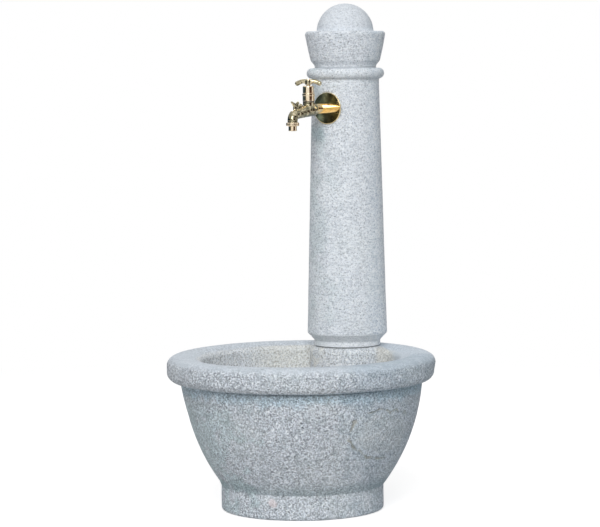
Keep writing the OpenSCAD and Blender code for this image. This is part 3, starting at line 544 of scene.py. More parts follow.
shaft_side = [
    (66.6, 310.0), (67.0, 310.5), (67.0, 318.8), (67.6, 320.4), (80.4, 334.0), (80.9, 336.4), (67.9, 846.0)]
collar = arc((67.5, 859.0), 11.0, -83.0, 75.0, 15)
column_profile = refined(np.vstack([shaft_side, collar, [(62.5, 870.0)]]), 1.25)
column_grid = on_column(turned(column_profile, STONE_COLS))
column_z = column_grid[..., 2]
wander = 1.4 * lattice_noise(column_grid, 45.0, 3) + 0.8 * lattice_noise(column_grid, 13.0, 4)
lines = 0.5 + 0.5 * np.sin(2.0 * np.pi * (column_z + wander) / LINE_PITCH)
lines = lines * (0.25 + 0.75 * lattice_noise(column_grid, 17.0, 5))
on_shaft = np.clip((column_z - LINES_FROM) / 6.0, 0, 1) * np.clip((LINES_TO - column_z) / 4.0, 0, 1)
column_grid = column_grid - outward(column_grid) * (LINE_DEPTH * lines * on_shaft)[..., None]
column_grid = worn(worn(column_grid, 0.45, 38.0, 6), 0.26, 5.0, 7)
column_stone = cut(
    skin("column_stone", column_grid),
    rod("bore", 0.0, COLUMN_Y, BORE_R, 300.0, TAP_Z + 40.0),
    rod("pin_left", -PIN_X, COLUMN_Y, PIN_R, 300.0, PIN_TOP, 32),
    rod("pin_right", PIN_X, COLUMN_Y, PIN_R, 300.0, PIN_TOP, 32),
    rod("pin_top", 0.0, COLUMN_Y, CAP_PIN_R, 842.0, 880.0, 32),
    skin("flat", along_tap(turned([(FLAT_R, 0.0), (FLAT_R, 40.0)], 128), SEAT_Y)),
    skin("shank", along_tap(turned([(SHANK_R, 0.0), (SHANK_R, 90.0)], 48), COLUMN_Y)))
fit(column_stone, granite_shaft, "granite", "fountain", "column")

# %% [markdown]
# ## The cup and its ball
# One stone, turned: a short neck, a bevel, a side that swells by half a millimetre, a rounded
# lip and a level top with the ball standing on it. The profile is the cup's, then the ball's
# arc from where it leaves the top up to the pole, with a small fillet where the two meet.

# %% Cup stone
BALL_Z, BALL_R, CUP_TOP = 942.0, 57.5, 944.0
rise = np.linspace(0.0, 1.0, 21)
cup_side = np.stack([70.0 + 11.0 * rise + 0.5 * np.sin(np.pi * rise), 884.0 + 53.0 * rise], -1)
ball_foot = math.degrees(math.asin((CUP_TOP + 1.5 - BALL_Z) / BALL_R))
cup_profile = np.vstack([
    [(40.0, 872.0), (62.0, 872.0), (62.5, 872.6), (62.5, 874.6), (63.1, 875.8), (69.3, 883.2)],
    cup_side[1:], arc((74.0, 937.0), 7.0, 10.0, 90.0, 8), [(61.0, CUP_TOP), (58.6, CUP_TOP + 0.3)],
    arc((0.0, BALL_Z), BALL_R, ball_foot, 89.0, 70)])
cap_grid = on_column(turned(refined(cup_profile, 1.3), STONE_COLS))
cap_grid = worn(worn(cap_grid, 0.35, 34.0, 11), 0.2, 5.5, 12)
cap_stone = cut(skin("cap_stone", cap_grid), rod("pin_cap", 0.0, COLUMN_Y, CAP_PIN_R, 860.0, 900.0, 32))
fit(cap_stone, granite_cap, "granite", "fountain", "capstone")

# %% [markdown]
# ## The joint under the cup
# The cup is bedded on a thin layer of pale mortar, pointed almost flush with the neck. It is one
# ring with a slightly hollow edge, as a mason's finger leaves it.

# %% Cap joint
JOINT_LOW, JOINT_HIGH = 870.0, 872.0
pointing = 62.1 - 0.5 * np.sin(np.linspace(0, np.pi, 7))
edge = np.stack([pointing, np.linspace(JOINT_LOW, JOINT_HIGH, 7)], -1)
joint = np.vstack([[(6.3, JOINT_LOW)], edge, [(6.3, JOINT_HIGH)]])
cap_joint = skin("cap_joint", on_column(turned(joint, 128)), ring=True)
print("cap joint:", len(cap_joint.data.polygons), "faces")

# %% [markdown]
# ## The basin
# The bowl swells out of its foot ring on one long arc to a rolled rim. Inside, a wall follows
# it at 45 mm, and a pier as wide as the column's foot runs back to the rim. The hollow is not
# round, so its rows are plan outlines: an arc of the wall's circle and the pier's outline,
# joined and then smoothed along the row, which leaves the hand-carved fillet in the corner.

# %% Outlines of the hollow
FRONT_COLS, PIER_COLS = 280, 68


def hollow_rows(wall, pier, wall_z, pier_z):
    """One closed plan outline per row. The first columns follow the wall's circle of radius w
    from one corner round the front to the other. The rest follow the pier's outline by its
    length: down the side of the strip, round the half circle of radius p and back up."""
    w, p, zw, zp = (np.asarray(v, float)[:, None] for v in (wall, pier, wall_z, pier_z))
    on_strip = w * w - p * p > COLUMN_Y**2
    y = np.where(on_strip, np.sqrt((w * w - p * p).clip(0)), (w * w + COLUMN_Y**2 - p * p) / (2 * COLUMN_Y))
    x = np.sqrt((w * w - y * y).clip(0))
    phi = np.arctan2(x, y)
    b = phi + (2 * np.pi - 2 * phi) * np.arange(FRONT_COLS) / FRONT_COLS
    strip = (y - COLUMN_Y).clip(0)
    half = np.where(on_strip, np.pi / 2, np.arctan2(x, COLUMN_Y - y))
    run = 2 * (strip + p * half) * np.arange(PIER_COLS) / PIER_COLS
    turn = np.maximum(half - (run - strip).clip(0) / p, -half)
    beyond = (run - strip - 2 * p * half).clip(0)
    pier_x = p * np.sin(turn)
    pier_y = COLUMN_Y - p * np.cos(turn) + (strip - run).clip(0) + beyond
    return np.stack([
        np.hstack([-w * np.sin(b), pier_x]),
        np.hstack([w * np.cos(b), pier_y]),
        np.hstack([zw + 0 * b, zp + 0 * run])], -1)


def smoothed(rows, width=6.0):
    """Each closed row blurred along its length by a bell curve of that many columns."""
    count = rows.shape[1]
    shift = np.minimum(np.arange(count), count - np.arange(count))
    bell = np.exp(-0.5 * (shift / width) ** 2)
    spectrum = np.fft.fft(bell / bell.sum())[None, :, None]
    return np.fft.ifft(np.fft.fft(rows, axis=1) * spectrum, axis=1).real


def circles(profile, angles):
    """Round rows from a profile of (r, z), with their columns at those angles from the back."""
    r, z = np.asarray(profile, float).T[:, :, None]
    return np.stack([-r * np.sin(angles), r * np.cos(angles), z + 0 * angles], -1)


def blend_rows(first, last, count):
    """Rows between two rows, without either, at even steps."""
    t = (np.arange(1, count + 1) / (count + 1))[:, None, None]
    return first[None] * (1 - t) + last[None] * t


print("columns round the basin:", FRONT_COLS, "in front and", PIER_COLS, "along the pier")


# %% [markdown]
# ## The rows of the basin
# The grid is one long loop of rows: up the outside, over the rim, down the hollow, across the
# floor and through the drain hole back to the hollow under the foot. The belly and the wall
# are arcs of big circles whose centres lie far beyond the other side.

# %% Rows of the basin
BELLY_Y, BELLY_Z = -147.518, 283.962
BELLY_ARC, WALL_ARC = 390.0, 345.0
WALL_TOP, WALL_FOOT, FLOOR_Z = 291.39, 92.69, 82.0
PIER_R, PIER_TOP, PIER_EDGE, PIER_FILLET = 80.0, 296.0, 12.0, 11.0
CORNER = math.radians(18.7)

crown = arc((234.0, 227.58), 80.42, 90.0, 111.16, 12)
lip = arc((209.3, WALL_TOP), 12.0, 111.16, 180.0, 11)[1:]
wall_z = np.linspace(WALL_TOP, WALL_FOOT, 51)[1:]
wall_r = BELLY_Y + np.sqrt(WALL_ARC**2 - (wall_z - BELLY_Z) ** 2)
fillet = arc((119.634, 106.0), 24.0, -33.67, -90.0, 11)[1:]
wall = np.vstack([crown, lip, np.stack([wall_r, wall_z], -1), fillet])
pier_z = np.concatenate([
    PIER_TOP + PIER_EDGE * np.cos(np.linspace(0, np.pi / 2, 18)), np.linspace(PIER_TOP, WALL_TOP, 5)[1:],
    wall_z, fillet[:, 1]])
pier_r = PIER_R - PIER_EDGE * (1.0 - np.sqrt(1.0 - ((pier_z - PIER_TOP) / PIER_EDGE).clip(0, 1) ** 2))
foot = (FLOOR_Z + PIER_FILLET - pier_z).clip(0, PIER_FILLET)
pier_r = pier_r + PIER_FILLET - np.sqrt(PIER_FILLET**2 - foot**2)
inside = smoothed(hollow_rows(wall[:, 0], pier_r, wall[:, 1], pier_z))

angles_front = CORNER + (2 * np.pi - 2 * CORNER) * np.arange(FRONT_COLS) / FRONT_COLS
angles_pier = -CORNER + 2 * CORNER * np.arange(PIER_COLS) / PIER_COLS
angles = np.concatenate([angles_front, angles_pier + 2 * np.pi])
bowl_z = np.linspace(52.0, 255.0, 68)
bowl = np.stack([BELLY_Y + np.sqrt(BELLY_ARC**2 - (bowl_z - BELLY_Z) ** 2), bowl_z], -1)
outside = circles(np.vstack([
    refined([(72.0, 40.0), (72.0, 0.4), (72.4, 0.0), (158.0, 0.0)], 4.0),
    arc((158.0, 5.0), 5.0, -90.0, 0.0, 7)[1:],
    refined([(163.0, 5.0), (163.0, 49.0)], 2.6)[1:], bowl,
    [(239.6, 256.6), (240.2, 258.4), (243.6, 257.2)],
    arc((246.5, 274.5), 18.5, -84.0, 0.0, 18),
    arc((247.0, 290.0), 18.0, 0.0, 90.0, 16)]), angles)
top = blend_rows(outside[-1], inside[0], 14)
floor_angles = np.arctan2(-inside[-1][:, 0], inside[-1][:, 1])
drain = circles([
    (32.0, 78.0), (30.3, 78.0), (30.1, 77.8), (30.1, 73.0), (18.12, 73.0), (18.12, 40.0), (40.0, 40.0)],
    floor_angles)
floor = blend_rows(inside[-1], drain[0], 16)
basin_grid = np.concatenate([outside, top, inside, floor, drain])
print("basin grid:", basin_grid.shape)

# %% [markdown]
# ## A bowl made by hand
# The real bowl isn't quite round. Its left side is up to seven millimetres narrower and its
# rim three lower there, and the rim is fuller at the right. Scaling the object would move all
# sides alike, so each point is pulled towards the axis by an amount that depends on its side
# and its height. Then the faces wander inwards, and the holes and the notch are cut.

# %% Basin stone
NARROWER = ([0, 49, 58, 190, 250, 256], [3.4, 3.4, 6.8, 7.2, 3.2, 0.0])
FULLER = ([275, 288, 302, 308], [0.0, 2.6, 2.6, 0.0])
RIM_DROP, RIM_LIMIT = 3.0, 264.9

basin_z = basin_grid[..., 2]
reach = np.hypot(basin_grid[..., 0], basin_grid[..., 1]).clip(1.0)
sideways = across_front(basin_grid[..., 0], basin_grid[..., 1]) / reach
left, right_side = (0.5 - 0.5 * sideways) ** 2, (0.5 + 0.5 * sideways) ** 12
on_outside = (np.arange(len(basin_grid)) < len(outside))[:, None]
pull = on_outside * (left * np.interp(basin_z, *NARROWER) - right_side * np.interp(basin_z, *FULLER))
pull = pull * np.interp(reach, [90.0, 150.0], [0.0, 1.0])
basin_grid[..., :2] *= (1.0 - pull / reach)[..., None]
on_rim = np.interp(basin_z, [265, 300], [0.0, 1.0]) * np.interp(reach, [150, 200], [0.0, 1.0])
basin_grid[..., 2] -= RIM_DROP * left * on_rim
basin_grid = worn(worn(basin_grid, 0.5, 55.0, 21, ring=True), 0.25, 7.0, 22, ring=True)
basin_grid[..., :2] = basin_grid[..., :2].clip(-RIM_LIMIT, RIM_LIMIT)
notch = turned([(BORE_R, -5.0), (BORE_R, 98.0), (15.0, 98.0), (15.0, 320.0)], 64)
basin_stone = cut(
    skin("basin_stone", basin_grid, ring=True), skin("notch", on_column(notch)),
    rod("pin_a", -PIN_X, COLUMN_Y, PIN_R, 269.8, 320.0, 32),
    rod("pin_b", PIN_X, COLUMN_Y, PIN_R, 269.8, 320.0, 32))
print("basin pulled in by up to", round(float(pull.max()), 1), "mm")

# %% [markdown]
# ## The basin's marks, and its painted light and shade
# Hands and water have left their marks: a rim rubbed smooth, a speckled hollow with a warm stain, a curved
# scrape and pock marks on the belly, a green tinge at the left. Painted light and shade go on too: painted
# light in the hollow, a painted bluish shade and a painted dark crease under the rim, painted shade low on
# the bowl and on its right side, and a painted bluish sky light on the right. They could be painted on an
# image, but an image needs a seam somewhere. Here each mark is a mask, a few smooth steps of the place on
# the stone multiplied together, and a slow noise is added to the place first, so that no mark has a ruler's
# edge.

# %% Marks on the basin
def basin_dress(stone, point, xyz, colour, height):
    """Lengths are in metres: u runs across the front, v away from it and z up. between is the
    middle of the wall at each height, sqrt(0.367^2 - (z - 0.284)^2) - 0.1475."""
    x, y, z = xyz
    radius = (x * x + y * y) ** 0.5
    u, v = across_front(x, y), y * FRONT_X - x * FRONT_Y
    soft = stone.noise(point, 0.03, 3.0) - 0.5
    beyond = radius - ((0.1347 - (z - 0.284) ** 2.0) ** 0.5 - 0.1475)
    inner = beyond.step(0.004, -0.004) * z.step(0.060, 0.075) * (radius + z).step(0.5120, 0.5000)
    outer = radius.step(0.150, 0.158) * beyond.step(-0.004, 0.004) * v.step(0.0, -0.05)

    grit = stone.noise(point, 0.0034, 2.0, 0.6)
    warm = inner * (u + 0.5 * soft).step(0.045, -0.005) * u.step(-0.12, -0.05)
    dark_patch = inner * (from_spot(u - 0.175, z - 0.290) + 0.04 * soft).step(0.032, 0.012) * v.step(0.0, 0.03)
    wide = u.step(0.165, 0.200) * radius.step(0.238, 0.226)
    rubbed = (z + 0.022 * wide + 0.01 * soft).step(0.2925, 0.3030)
    rubbed = rubbed * (radius + 0.012 * wide + 0.02 * soft).step(0.199, 0.209)
    smooth = stone.mix(stone.noise(point, 0.005, 3.0), (0.48, 0.54, 0.605), (0.655, 0.71, 0.765))
    scrape = from_spot(u - 0.154, 1.25 * (z - 0.168)) + 0.040 * soft
    line = scrape.step(0.0585, 0.0615) * scrape.step(0.0665, 0.0635) * (u - 0.5 * z).step(0.115, 0.085)
    line = line * stone.noise(point, 0.018, 2.0).step(0.34, 0.52)
    green = outer * (u + 0.4 * soft).step(-0.10, -0.17) * z.step(0.25, 0.20)
    # Painted shade under the rim: a bluish band below its roll and a dark line in the crease.
    under_rim_shade = (z + 0.04 * soft).step(0.226, 0.244) * z.step(0.261, 0.256) * outer
    crease_shade = (z + 0.002 * soft).step(0.2520, 0.2560) * z.step(0.264, 0.2585)
    crease_shade = crease_shade * radius.step(0.250, 0.243) * beyond.step(-0.004, 0.004)
    cloud = stone.noise(point, 0.020, 3.0, 0.6)
    pock = stone.noise(point, 0.0085, 1.0).step(0.265, 0.215)
    # Painted shade: darker low on the bowl, just above the foot.
    low = (z + 0.02 * soft).step(0.078, 0.056) * z.step(0.046, 0.052)
    # Painted shade on the bowl's right side.
    right_shade = outer * (u + 0.3 * soft).step(0.07, 0.15)
    pink = (from_spot(u + 0.057, z - 0.034) + 0.02 * soft).step(0.012, 0.006) * v.step(0.0, -0.05)
    colour = stone.coats(
        colour,
        # painted light: the hollow is lightened and made bluer, as sky light fills it
        (inner * 0.42, (0.86, 0.90, 0.93)),
        (inner * grit.step(0.45, 0.37) * 0.68, (0.24, 0.23, 0.21)),
        (inner * grit.step(0.55, 0.63) * 0.65, (0.95, 0.95, 0.92)),
        (warm * 0.18, (0.88, 0.82, 0.62)),
        (dark_patch * 0.34, (0.56, 0.50, 0.36)),
        (rubbed * (0.70 - 0.20 * v.step(0.02, 0.12)), smooth),
        (outer * line * 0.62, (0.33, 0.30, 0.21)),
        (outer * scrape.step(0.062, 0.040) * 0.12, (0.72, 0.70, 0.58)),
        (green * 0.7, (0.86, 0.96, 0.94), "MULTIPLY"),
        # painted shade under the rim: the bluish band, then the dark crease line
        (under_rim_shade * 0.7, (0.78, 0.94, 1.0), "MULTIPLY"),
        (crease_shade * 0.80, (0.13, 0.15, 0.16)),
        (outer * cloud.step(0.50, 0.36) * 0.26, (0.36, 0.42, 0.46)),
        (outer * cloud.step(0.54, 0.68) * 0.22, (0.84, 0.88, 0.94)),
        (outer * pock * 0.65, (0.12, 0.13, 0.14)),
        # painted shade low on the bowl
        (low * 0.6, (0.62, 0.70, 0.70), "MULTIPLY"),
        # painted shade on the bowl's right side, then a painted bluish sky light over the stone's right
        (right_shade * 0.7, (0.80, 0.84, 0.86), "MULTIPLY"),
        (u.step(0.05, 0.12), (0.0, 0.025, 0.055), "SCREEN"),
        (pink * 0.45, (0.86, 0.72, 0.72)))
    return colour, height * (1.0 - 0.75 * rubbed) - 1.2 * outer * (pock + line)


granite_basin = granite("granite_basin", (0.67, 0.73, 0.81), 0.98, 0.72, basin_dress)
fit(basin_stone, granite_basin, "granite", "fountain", "basin")

# %% [markdown]
# ## Brass
# The tap is polished brass: a metal's colour is the colour of its reflections, so the base colour is the
# alloy's and nearly all the look comes from how smooth it is. A very low roughness gives the mirror of the
# rosette. The castings were polished by hand over a wavy skin, so they get a strong bump of slow noise and
# a patina in clouds, which breaks their reflections up into light and dark patches.

# %% Brass finishes
def brass(name, roughness, uneven, bright, dull, lumps, share=0.35):
    """Brass of two tones in clouds that are lumps metres wide. share is how much of it is dull,
    and uneven how wavy the polish leaves it."""
    metal = material(name)
    point, _ = metal.place()
    dulled = metal.noise(point, lumps, 3.0).step(0.57 - 0.5 * share, 0.95 - 0.5 * share)
    waves = metal.noise(point, 0.8 * lumps, 0.6) * uneven
    return metal.surface(
        Base_Color=metal.mix(dulled, bright, dull), Metallic=1.0, Normal=metal.bump(waves, 0.001),
        Roughness=roughness + 0.10 * metal.noise(point, 0.006, 3.0).step(0.5, 0.75))


brass_mirror = brass("brass_mirror", 0.035, 0.012, (0.87, 0.70, 0.40), (0.78, 0.60, 0.30), 0.012)
brass_polished = brass("brass_polished", 0.09, 0.12, (0.89, 0.76, 0.56), (0.72, 0.55, 0.38), 0.010)
brass_gold = brass("brass_gold", 0.11, 0.15, (0.86, 0.68, 0.37), (0.66, 0.48, 0.25), 0.010, 0.50)
brass_cast = brass("brass_cast", 0.13, 1.5, (0.84, 0.74, 0.52), (0.19, 0.175, 0.11), 0.008, 0.72)
brass_lever = brass("brass_lever", 0.13, 0.7, (0.66, 0.58, 0.41), (0.26, 0.235, 0.15), 0.008, 0.60)
brass_plain = brass("brass_plain", 0.22, 0.25, (0.84, 0.67, 0.40), (0.58, 0.44, 0.26), 0.007, 0.45)
print("brass finishes:", len([m for m in bpy.data.materials if m.name.startswith("brass")]))

# %% [markdown]
# ## Turned brass
# The rosette, the extension, the bonnet, the gland nut, the nozzle and the ring nut all come
# off a lathe, so each is one profile carried round its axis. Their corners are eased by a few
# tenths of a millimetre, because a true corner never catches the light and a real one does.

# %% Turned pieces of the tap
SPINDLE_Y, SPOUT_Y, EXTENSION_Y = 36.968, -20.032, 161.407
DISH_R = 29.0


def on_spindle(grid):
    return grid + (0, SPINDLE_Y, 0)


def on_spout(grid):
    return grid + (0, SPOUT_Y, 0)


def turned_ring(name, profile, ease, place, finish, replaced):
    """A closed profile with eased corners carried round, put in its place and finished."""
    grid = place(turned(eased(profile, ease, ring=True), 144))
    return fit(skin(name, grid, ring=True), finish, "brass", "fountain", replaced)


def dish(start, end, z, rise):
    """A shallow dome's profile between two radii: z + rise (1 - (r / 29)^2)."""
    r = np.linspace(start, end, 24)[1:-1]
    return np.stack([r, z + rise * (1.0 - (r / DISH_R) ** 2)], -1)


rosette_profile = np.vstack([
    [(31.5, 0.0)], arc((31.0, 2.6), 0.5, 0.0, 86.0, 6), dish(31.2, 9.7, 3.2, 0.9),
    [(9.6, 3.98), (9.55, 3.8), (9.55, 2.4)], dish(9.6, 30.4, 1.9, 0.6), [(30.5, 1.8), (30.6, 0.0)]])
rosette_grid = along_tap(turned(rosette_profile, 160), SEAT_Y)
fit(skin("rosette_disc", rosette_grid, ring=True, sharp=50), brass_mirror, "brass", "fountain", "rosette")
turned_ring(
    "extension", [(9.5, 0), (9.5, 105.439), (8.43, 105.439), (8.43, 94.34), (4, 94.34), (4, 0)], 0.3,
    lambda grid: along_tap(grid, EXTENSION_Y), brass_gold, "tap_extension")
turned_ring("bonnet", [
    (9, 798), (9, 805.5), (11.6, 805.5), (11.6, 816.5), (12.3, 816.5), (12.3, 820.5), (8.8, 820.5),
    (8.8, 828.5), (6.95, 828.5), (6.95, 822.5), (4.15, 822.5), (4.15, 811.35), (6.45, 811.35), (6.45, 798)],
    0.5, on_spindle, brass_polished, "headwork")
turned_ring("gland_cap", [
    (11.2, 820.8), (11.2, 834.3), (9.6, 835.8), (4.15, 835.8), (4.15, 828.6), (8.9, 828.6), (8.9, 820.8)],
    0.6, on_spindle, brass_polished, "gland_nut")
turned_ring("nozzle", [
    (7.6, 748.023), (8.2, 748.623), (8.2, 757.42), (7.7, 757.5), (7.7, 759.623), (9.2, 759.623),
    (9.2, 761.023), (5.8, 761.023), (5.8, 748.023)], 0.25, on_spout, brass_polished, "outlet_nozzle")

# %% [markdown]
# ## The tap's casting
# The body is one casting: the barrel, the neck, the falling spout and the crest on it. A cast
# piece has no hard inner corner, because the sand would not hold one. A fillet on every seam of
# a union is slow to model, so the CAD solid is copied, its loose triangles are merged, and a
# voxel remesh with some smoothing rounds every seam at once. The crest is four short stalks
# with round ends, joined to the copy before the remesh, so that they grow out of the metal.

# %% Tap casting
BODY_Z = 788.0
CROSSWAYS = (1.0, 0.0, 0.0)


def bezier(controls, count):
    """The curve of repeated mixing: neighbours are mixed by t until one point is left."""
    t = np.linspace(0.0, 1.0, count)[:, None]
    mixed = [np.asarray(c, float)[None] + 0.0 * t for c in controls]
    while len(mixed) > 1:
        mixed = [a * (1.0 - t) + b * t for a, b in zip(mixed, mixed[1:])]
    return mixed[0]


def stalk(name, controls, side, count=40, cols=32):
    """A rod with an oval section along a curve. Each control is a point and its two half-axes,
    which shrink to nothing at both ends as a dome: times sqrt(1 - (1 - d)^2)."""
    curve = bezier(controls, count)
    path, radii = curve[:, :3], curve[:, 3:]
    length = np.concatenate([[0.0], np.cumsum(np.linalg.norm(np.diff(path, axis=0), axis=1))])
    near_end = (np.minimum(length, length[-1] - length) / radii.mean(1)).clip(0.0, 1.0)
    dome = np.sqrt(1.0 - (1.0 - near_end) ** 2).clip(0.02)[:, None]
    return skin(name, swept(path, radii * dome, side, cols))


def cast(name, parts, voxel, passes):
    """Joins closed parts, remeshes them in voxels and smooths the seams, as a casting has them."""
    made = parts[0]
    with bpy.context.temp_override(active_object=made, object=made, selected_editable_objects=parts):
        bpy.ops.object.join()
    made.name = name
    remesh = made.modifiers.new("remesh", "REMESH")
    remesh.mode, remesh.voxel_size, remesh.use_smooth_shade = "VOXEL", voxel * MM, True
    smooth = made.modifiers.new("smooth", "SMOOTH")
    smooth.factor, smooth.iterations = 0.5, passes
    return finished(made)


def copy_of(node_name):
    """A copy of a CAD node's mesh with its loose triangles merged."""
    made = new_object(node_name + "_copy", nodes[node_name].data.copy())
    made.modifiers.new("weld", "WELD").merge_threshold = 0.00001
    return finished(made)


def on_crest(controls):
    """Controls (y, z, half-axis across, half-axis along) in the tap's plane, from the spout's middle."""
    return [(0.0, SPOUT_Y + y, BODY_Z + z, across, along) for y, z, across, along in controls]


crest = {
    "stem": [(12, -5, 4.6, 5.6), (10.5, 3, 3.6, 4.4), (9.5, 11.5, 3.2, 4.2)],
    "horn": [(12, 4, 3.4, 4.2), (8, 11.5, 3.0, 4.4), (2, 13.5, 2.2, 3.2), (-5.0, 17.6, 1.1, 1.3)],
    "lobe": [(8, 5, 3.4, 4.2), (13, 11, 3.2, 4.2), (16, 12.5, 2.8, 3.8), (21.5, 16.4, 2.4, 3.2)],
    "saddle": [(12, 0, 4.0, 4.4), (18, 8, 3.8, 4.2), (26, 6, 3.4, 3.6), (33, 11, 3.6, 4.0)],
}
casting_parts = [copy_of("tap_body")]
casting_parts += [stalk(name, on_crest(controls), CROSSWAYS) for name, controls in crest.items()]
tap_casting = cast("tap_casting", casting_parts, 0.5, 3)
fit(tap_casting, brass_cast, "brass", "fountain", "tap_body")

# %% [markdown]
# ## The tap's handle
# The tee is cast too: a hub like a short barrel with an arm to each side that droops and ends in
# a thick round tip. Each arm is an oval carried along a curve, with half-axes that shrink to
# nothing at the very tip. The hub and the arms are joined by the same remesh.

# %% Tap handle
HUB_Z, HUB_TOP, HANDLE_TURN = 837.8, 847.8, math.radians(20.0)
ARM = [(0, 842.8, 5.0, 4.8), (10, 846.4, 4.2, 4.6), (14, 845.2, 3.6, 4.0), (20, 842.0, 3.8, 4.2),
       (26.6, 838.4, 5.0, 5.4)]


def on_arm(way):
    """The arm's controls (out, z, half-axis across, half-axis upright), to that side of the hub."""
    c, s = way * math.cos(HANDLE_TURN), way * math.sin(HANDLE_TURN)
    return [(out * c, SPINDLE_Y + out * s, z, wide, tall) for out, z, wide, tall in ARM]


hub = turned(eased([(0.0, HUB_Z), (6.6, HUB_Z), (7.0, 843.0), (6.7, HUB_TOP), (0.0, HUB_TOP)], 1.2), 64)
across_arms = (-math.sin(HANDLE_TURN), math.cos(HANDLE_TURN), 0.0)
handle_parts = [skin("hub", on_spindle(hub))]
handle_parts += [stalk(f"arm_{way}", on_arm(way), across_arms, 56, 40) for way in (-1, 1)]
tap_lever = cast("tap_lever", handle_parts, 0.35, 5)
cut(tap_lever, rod("stem_hole", 0.0, SPINDLE_Y, 3.5, 830.0, 856.0, 48))
fit(tap_lever, brass_lever, "brass", "handle", "tap_handle")

# %% [markdown]
# ## Nuts, threads and notches
# A nut is turned from six-sided bar, so its chamfer is a cone and its sides are flats: the radius
# is the smaller of the two. A thread is one groove that climbs by a pitch in each turn, so the
# radius swings with the height and the angle together. A notch is a bite of a small circle. All
# three only change the radius of a turned grid, and each fitting stays one closed surface.

# %% Hexagons, threads and notches
def about(grid):
    """The radius, angle and height of a grid's points."""
    return np.hypot(grid[..., 0], grid[..., 1]), np.arctan2(grid[..., 1], grid[..., 0]), grid[..., 2]


def rescaled(grid, radius):
    """The grid with its points moved to that radius."""
    return grid * np.stack([radius / about(grid)[0]] * 2 + [np.ones(grid.shape[:2])], -1)


def hexed(grid, flats, low, high):
    """Between two heights the radius is at most a hexagon's: flats / 2 / cos((a mod 60) - 30)."""
    r, a, z = about(grid)
    limit = flats / 2 / np.cos(np.mod(a + 1e-9, np.pi / 3) - np.pi / 6)
    return rescaled(grid, np.where((z >= low) & (z <= high), np.minimum(r, limit), r))


def threaded(grid, radius, low, high, pitch, depth):
    """Where the radius is the thread's, it shrinks by depth (1 - cos(2 pi z / pitch - a)) / 2, which
    fades in over a pitch at each end."""
    r, a, z = about(grid)
    on = (np.abs(r - radius) < 0.02) * np.clip((z - low) / pitch, 0, 1) * np.clip((high - z) / pitch, 0, 1)
    return rescaled(grid, r - on * depth * (0.5 - 0.5 * np.cos(2 * np.pi * z / pitch - a)))


def notched(grid, radius, count, depth):
    """Bites of 1 mm circles in the outside: max(0, sqrt(1 - s^2) - 1 + depth), where s is the
    distance from the nearest bite's middle."""
    r, a, _ = about(grid)
    s = radius * (np.mod(a + np.pi / count, 2 * np.pi / count) - np.pi / count)
    bite = (np.sqrt((1.0 - s**2).clip(0)) - 1.0 + depth).clip(0)
    return rescaled(grid, np.where(r > radius - 1.2, r - bite, r))


def up_cylinder(r, low, high, count):
    """Points up a cylinder, close enough together to carry a thread."""
    return np.stack([np.full(count, r), np.linspace(low, high, count)], -1)


def bevelled(flats, low, high):
    """A nut's outside from bottom to top: the circle of its corners between two 30 degree cones."""
    corner, flat = flats / 2 / math.cos(math.pi / 6), flats / 2 - 0.2
    rise = (corner - flat) * math.tan(math.radians(30.0))
    cone = np.stack([np.linspace(flat, corner, 8), np.linspace(low, low + rise, 8)], -1)
    return np.vstack([cone, [(corner, (low + high) / 2)], (cone * (1, -1) + (0, low + high))[::-1]])


def brass_fitting(name, grid, replaced):
    """A plain brass fitting on the column's axis, with crisp edges."""
    made = skin(name, on_column(grid), ring=True, sharp=20.0)
    return fit(made, brass_plain, "brass", "fountain", replaced)


print("a nut of 24 mm has corners at", bevelled(24.0, 0.0, 10.0)[:, 0].max().round(2), "mm")

# %% Fittings
FLATS = 24.0
INLET_R, INLET_PITCH, INLET_DEPTH = 10.48, 1.814, 1.16
HEX_LOW, HEX_HIGH = 53.0, 59.0
RING_R, RING_NOTCHES = 12.8, 24


def nut(name, low, high, bore, node):
    """A six-sided nut between two heights, with that bore's profile from the top down."""
    grid = turned(np.vstack([bevelled(FLATS, low, high), bore]), 192)
    brass_fitting(name, hexed(grid, FLATS, low, high), node)


nut("riser_nut", 66.2, 80.2, [(7.6, 80.2), (7.6, 78.2), (9.7, 78.2), (9.7, 66.2)], "inlet_nut")
nut("upper_nut", 752.8, 766.8, [(9.7, 766.8), (9.7, 754.8), (7.6, 754.8), (7.6, 752.8)], "elbow_nut")
inlet = turned(np.vstack([
    [(9.5, 38.0)], up_cylinder(INLET_R, 38.9, 52.4, 82), [(9.6, 52.5), (9.6, HEX_LOW)],
    bevelled(FLATS, HEX_LOW, HEX_HIGH),
    [(9.6, HEX_HIGH), (9.6, 73.0), (7.6, 73.0), (7.6, HEX_HIGH), (6.5, HEX_HIGH), (6.5, 38.0)]]), 192)
inlet = threaded(hexed(inlet, FLATS, HEX_LOW, HEX_HIGH), INLET_R, 38.0, 52.6, INLET_PITCH, INLET_DEPTH)
brass_fitting("inlet_union", inlet, "inlet_fitting")
spout_nut = turned(eased([
    (12.0, 758.023), (RING_R, 758.9), (RING_R, 764.0), (12.0, 764.823), (10.1, 764.823),
    (10.1, 759.623), (8.3, 759.623), (8.3, 758.023)], 0.4, ring=True), 288)
spout_nut = on_spout(notched(spout_nut, RING_R, RING_NOTCHES, 0.5))
fit(skin("spout_ring", spout_nut, ring=True), brass_polished, "brass", "fountain", "outlet_ring_nut")

# %% [markdown]
# ## The drain
# A pressed flange lies in the basin's floor. It falls a little towards the strainer, which is a
# thin plate with two rings of holes and one slotted screw. The tail goes down through the stone
# with a pipe thread, and a six-sided nut pulls the flange tight from below.

# %% Drain
TAIL_R, TAIL_PITCH, TAIL_DEPTH, TAIL_FLATS = 16.62, 2.309, 1.3, 44.0
LOCK_LOW, LOCK_HIGH = 29.0, 38.0
BAR_Z, BAR_HALF = 74.0, 14.6

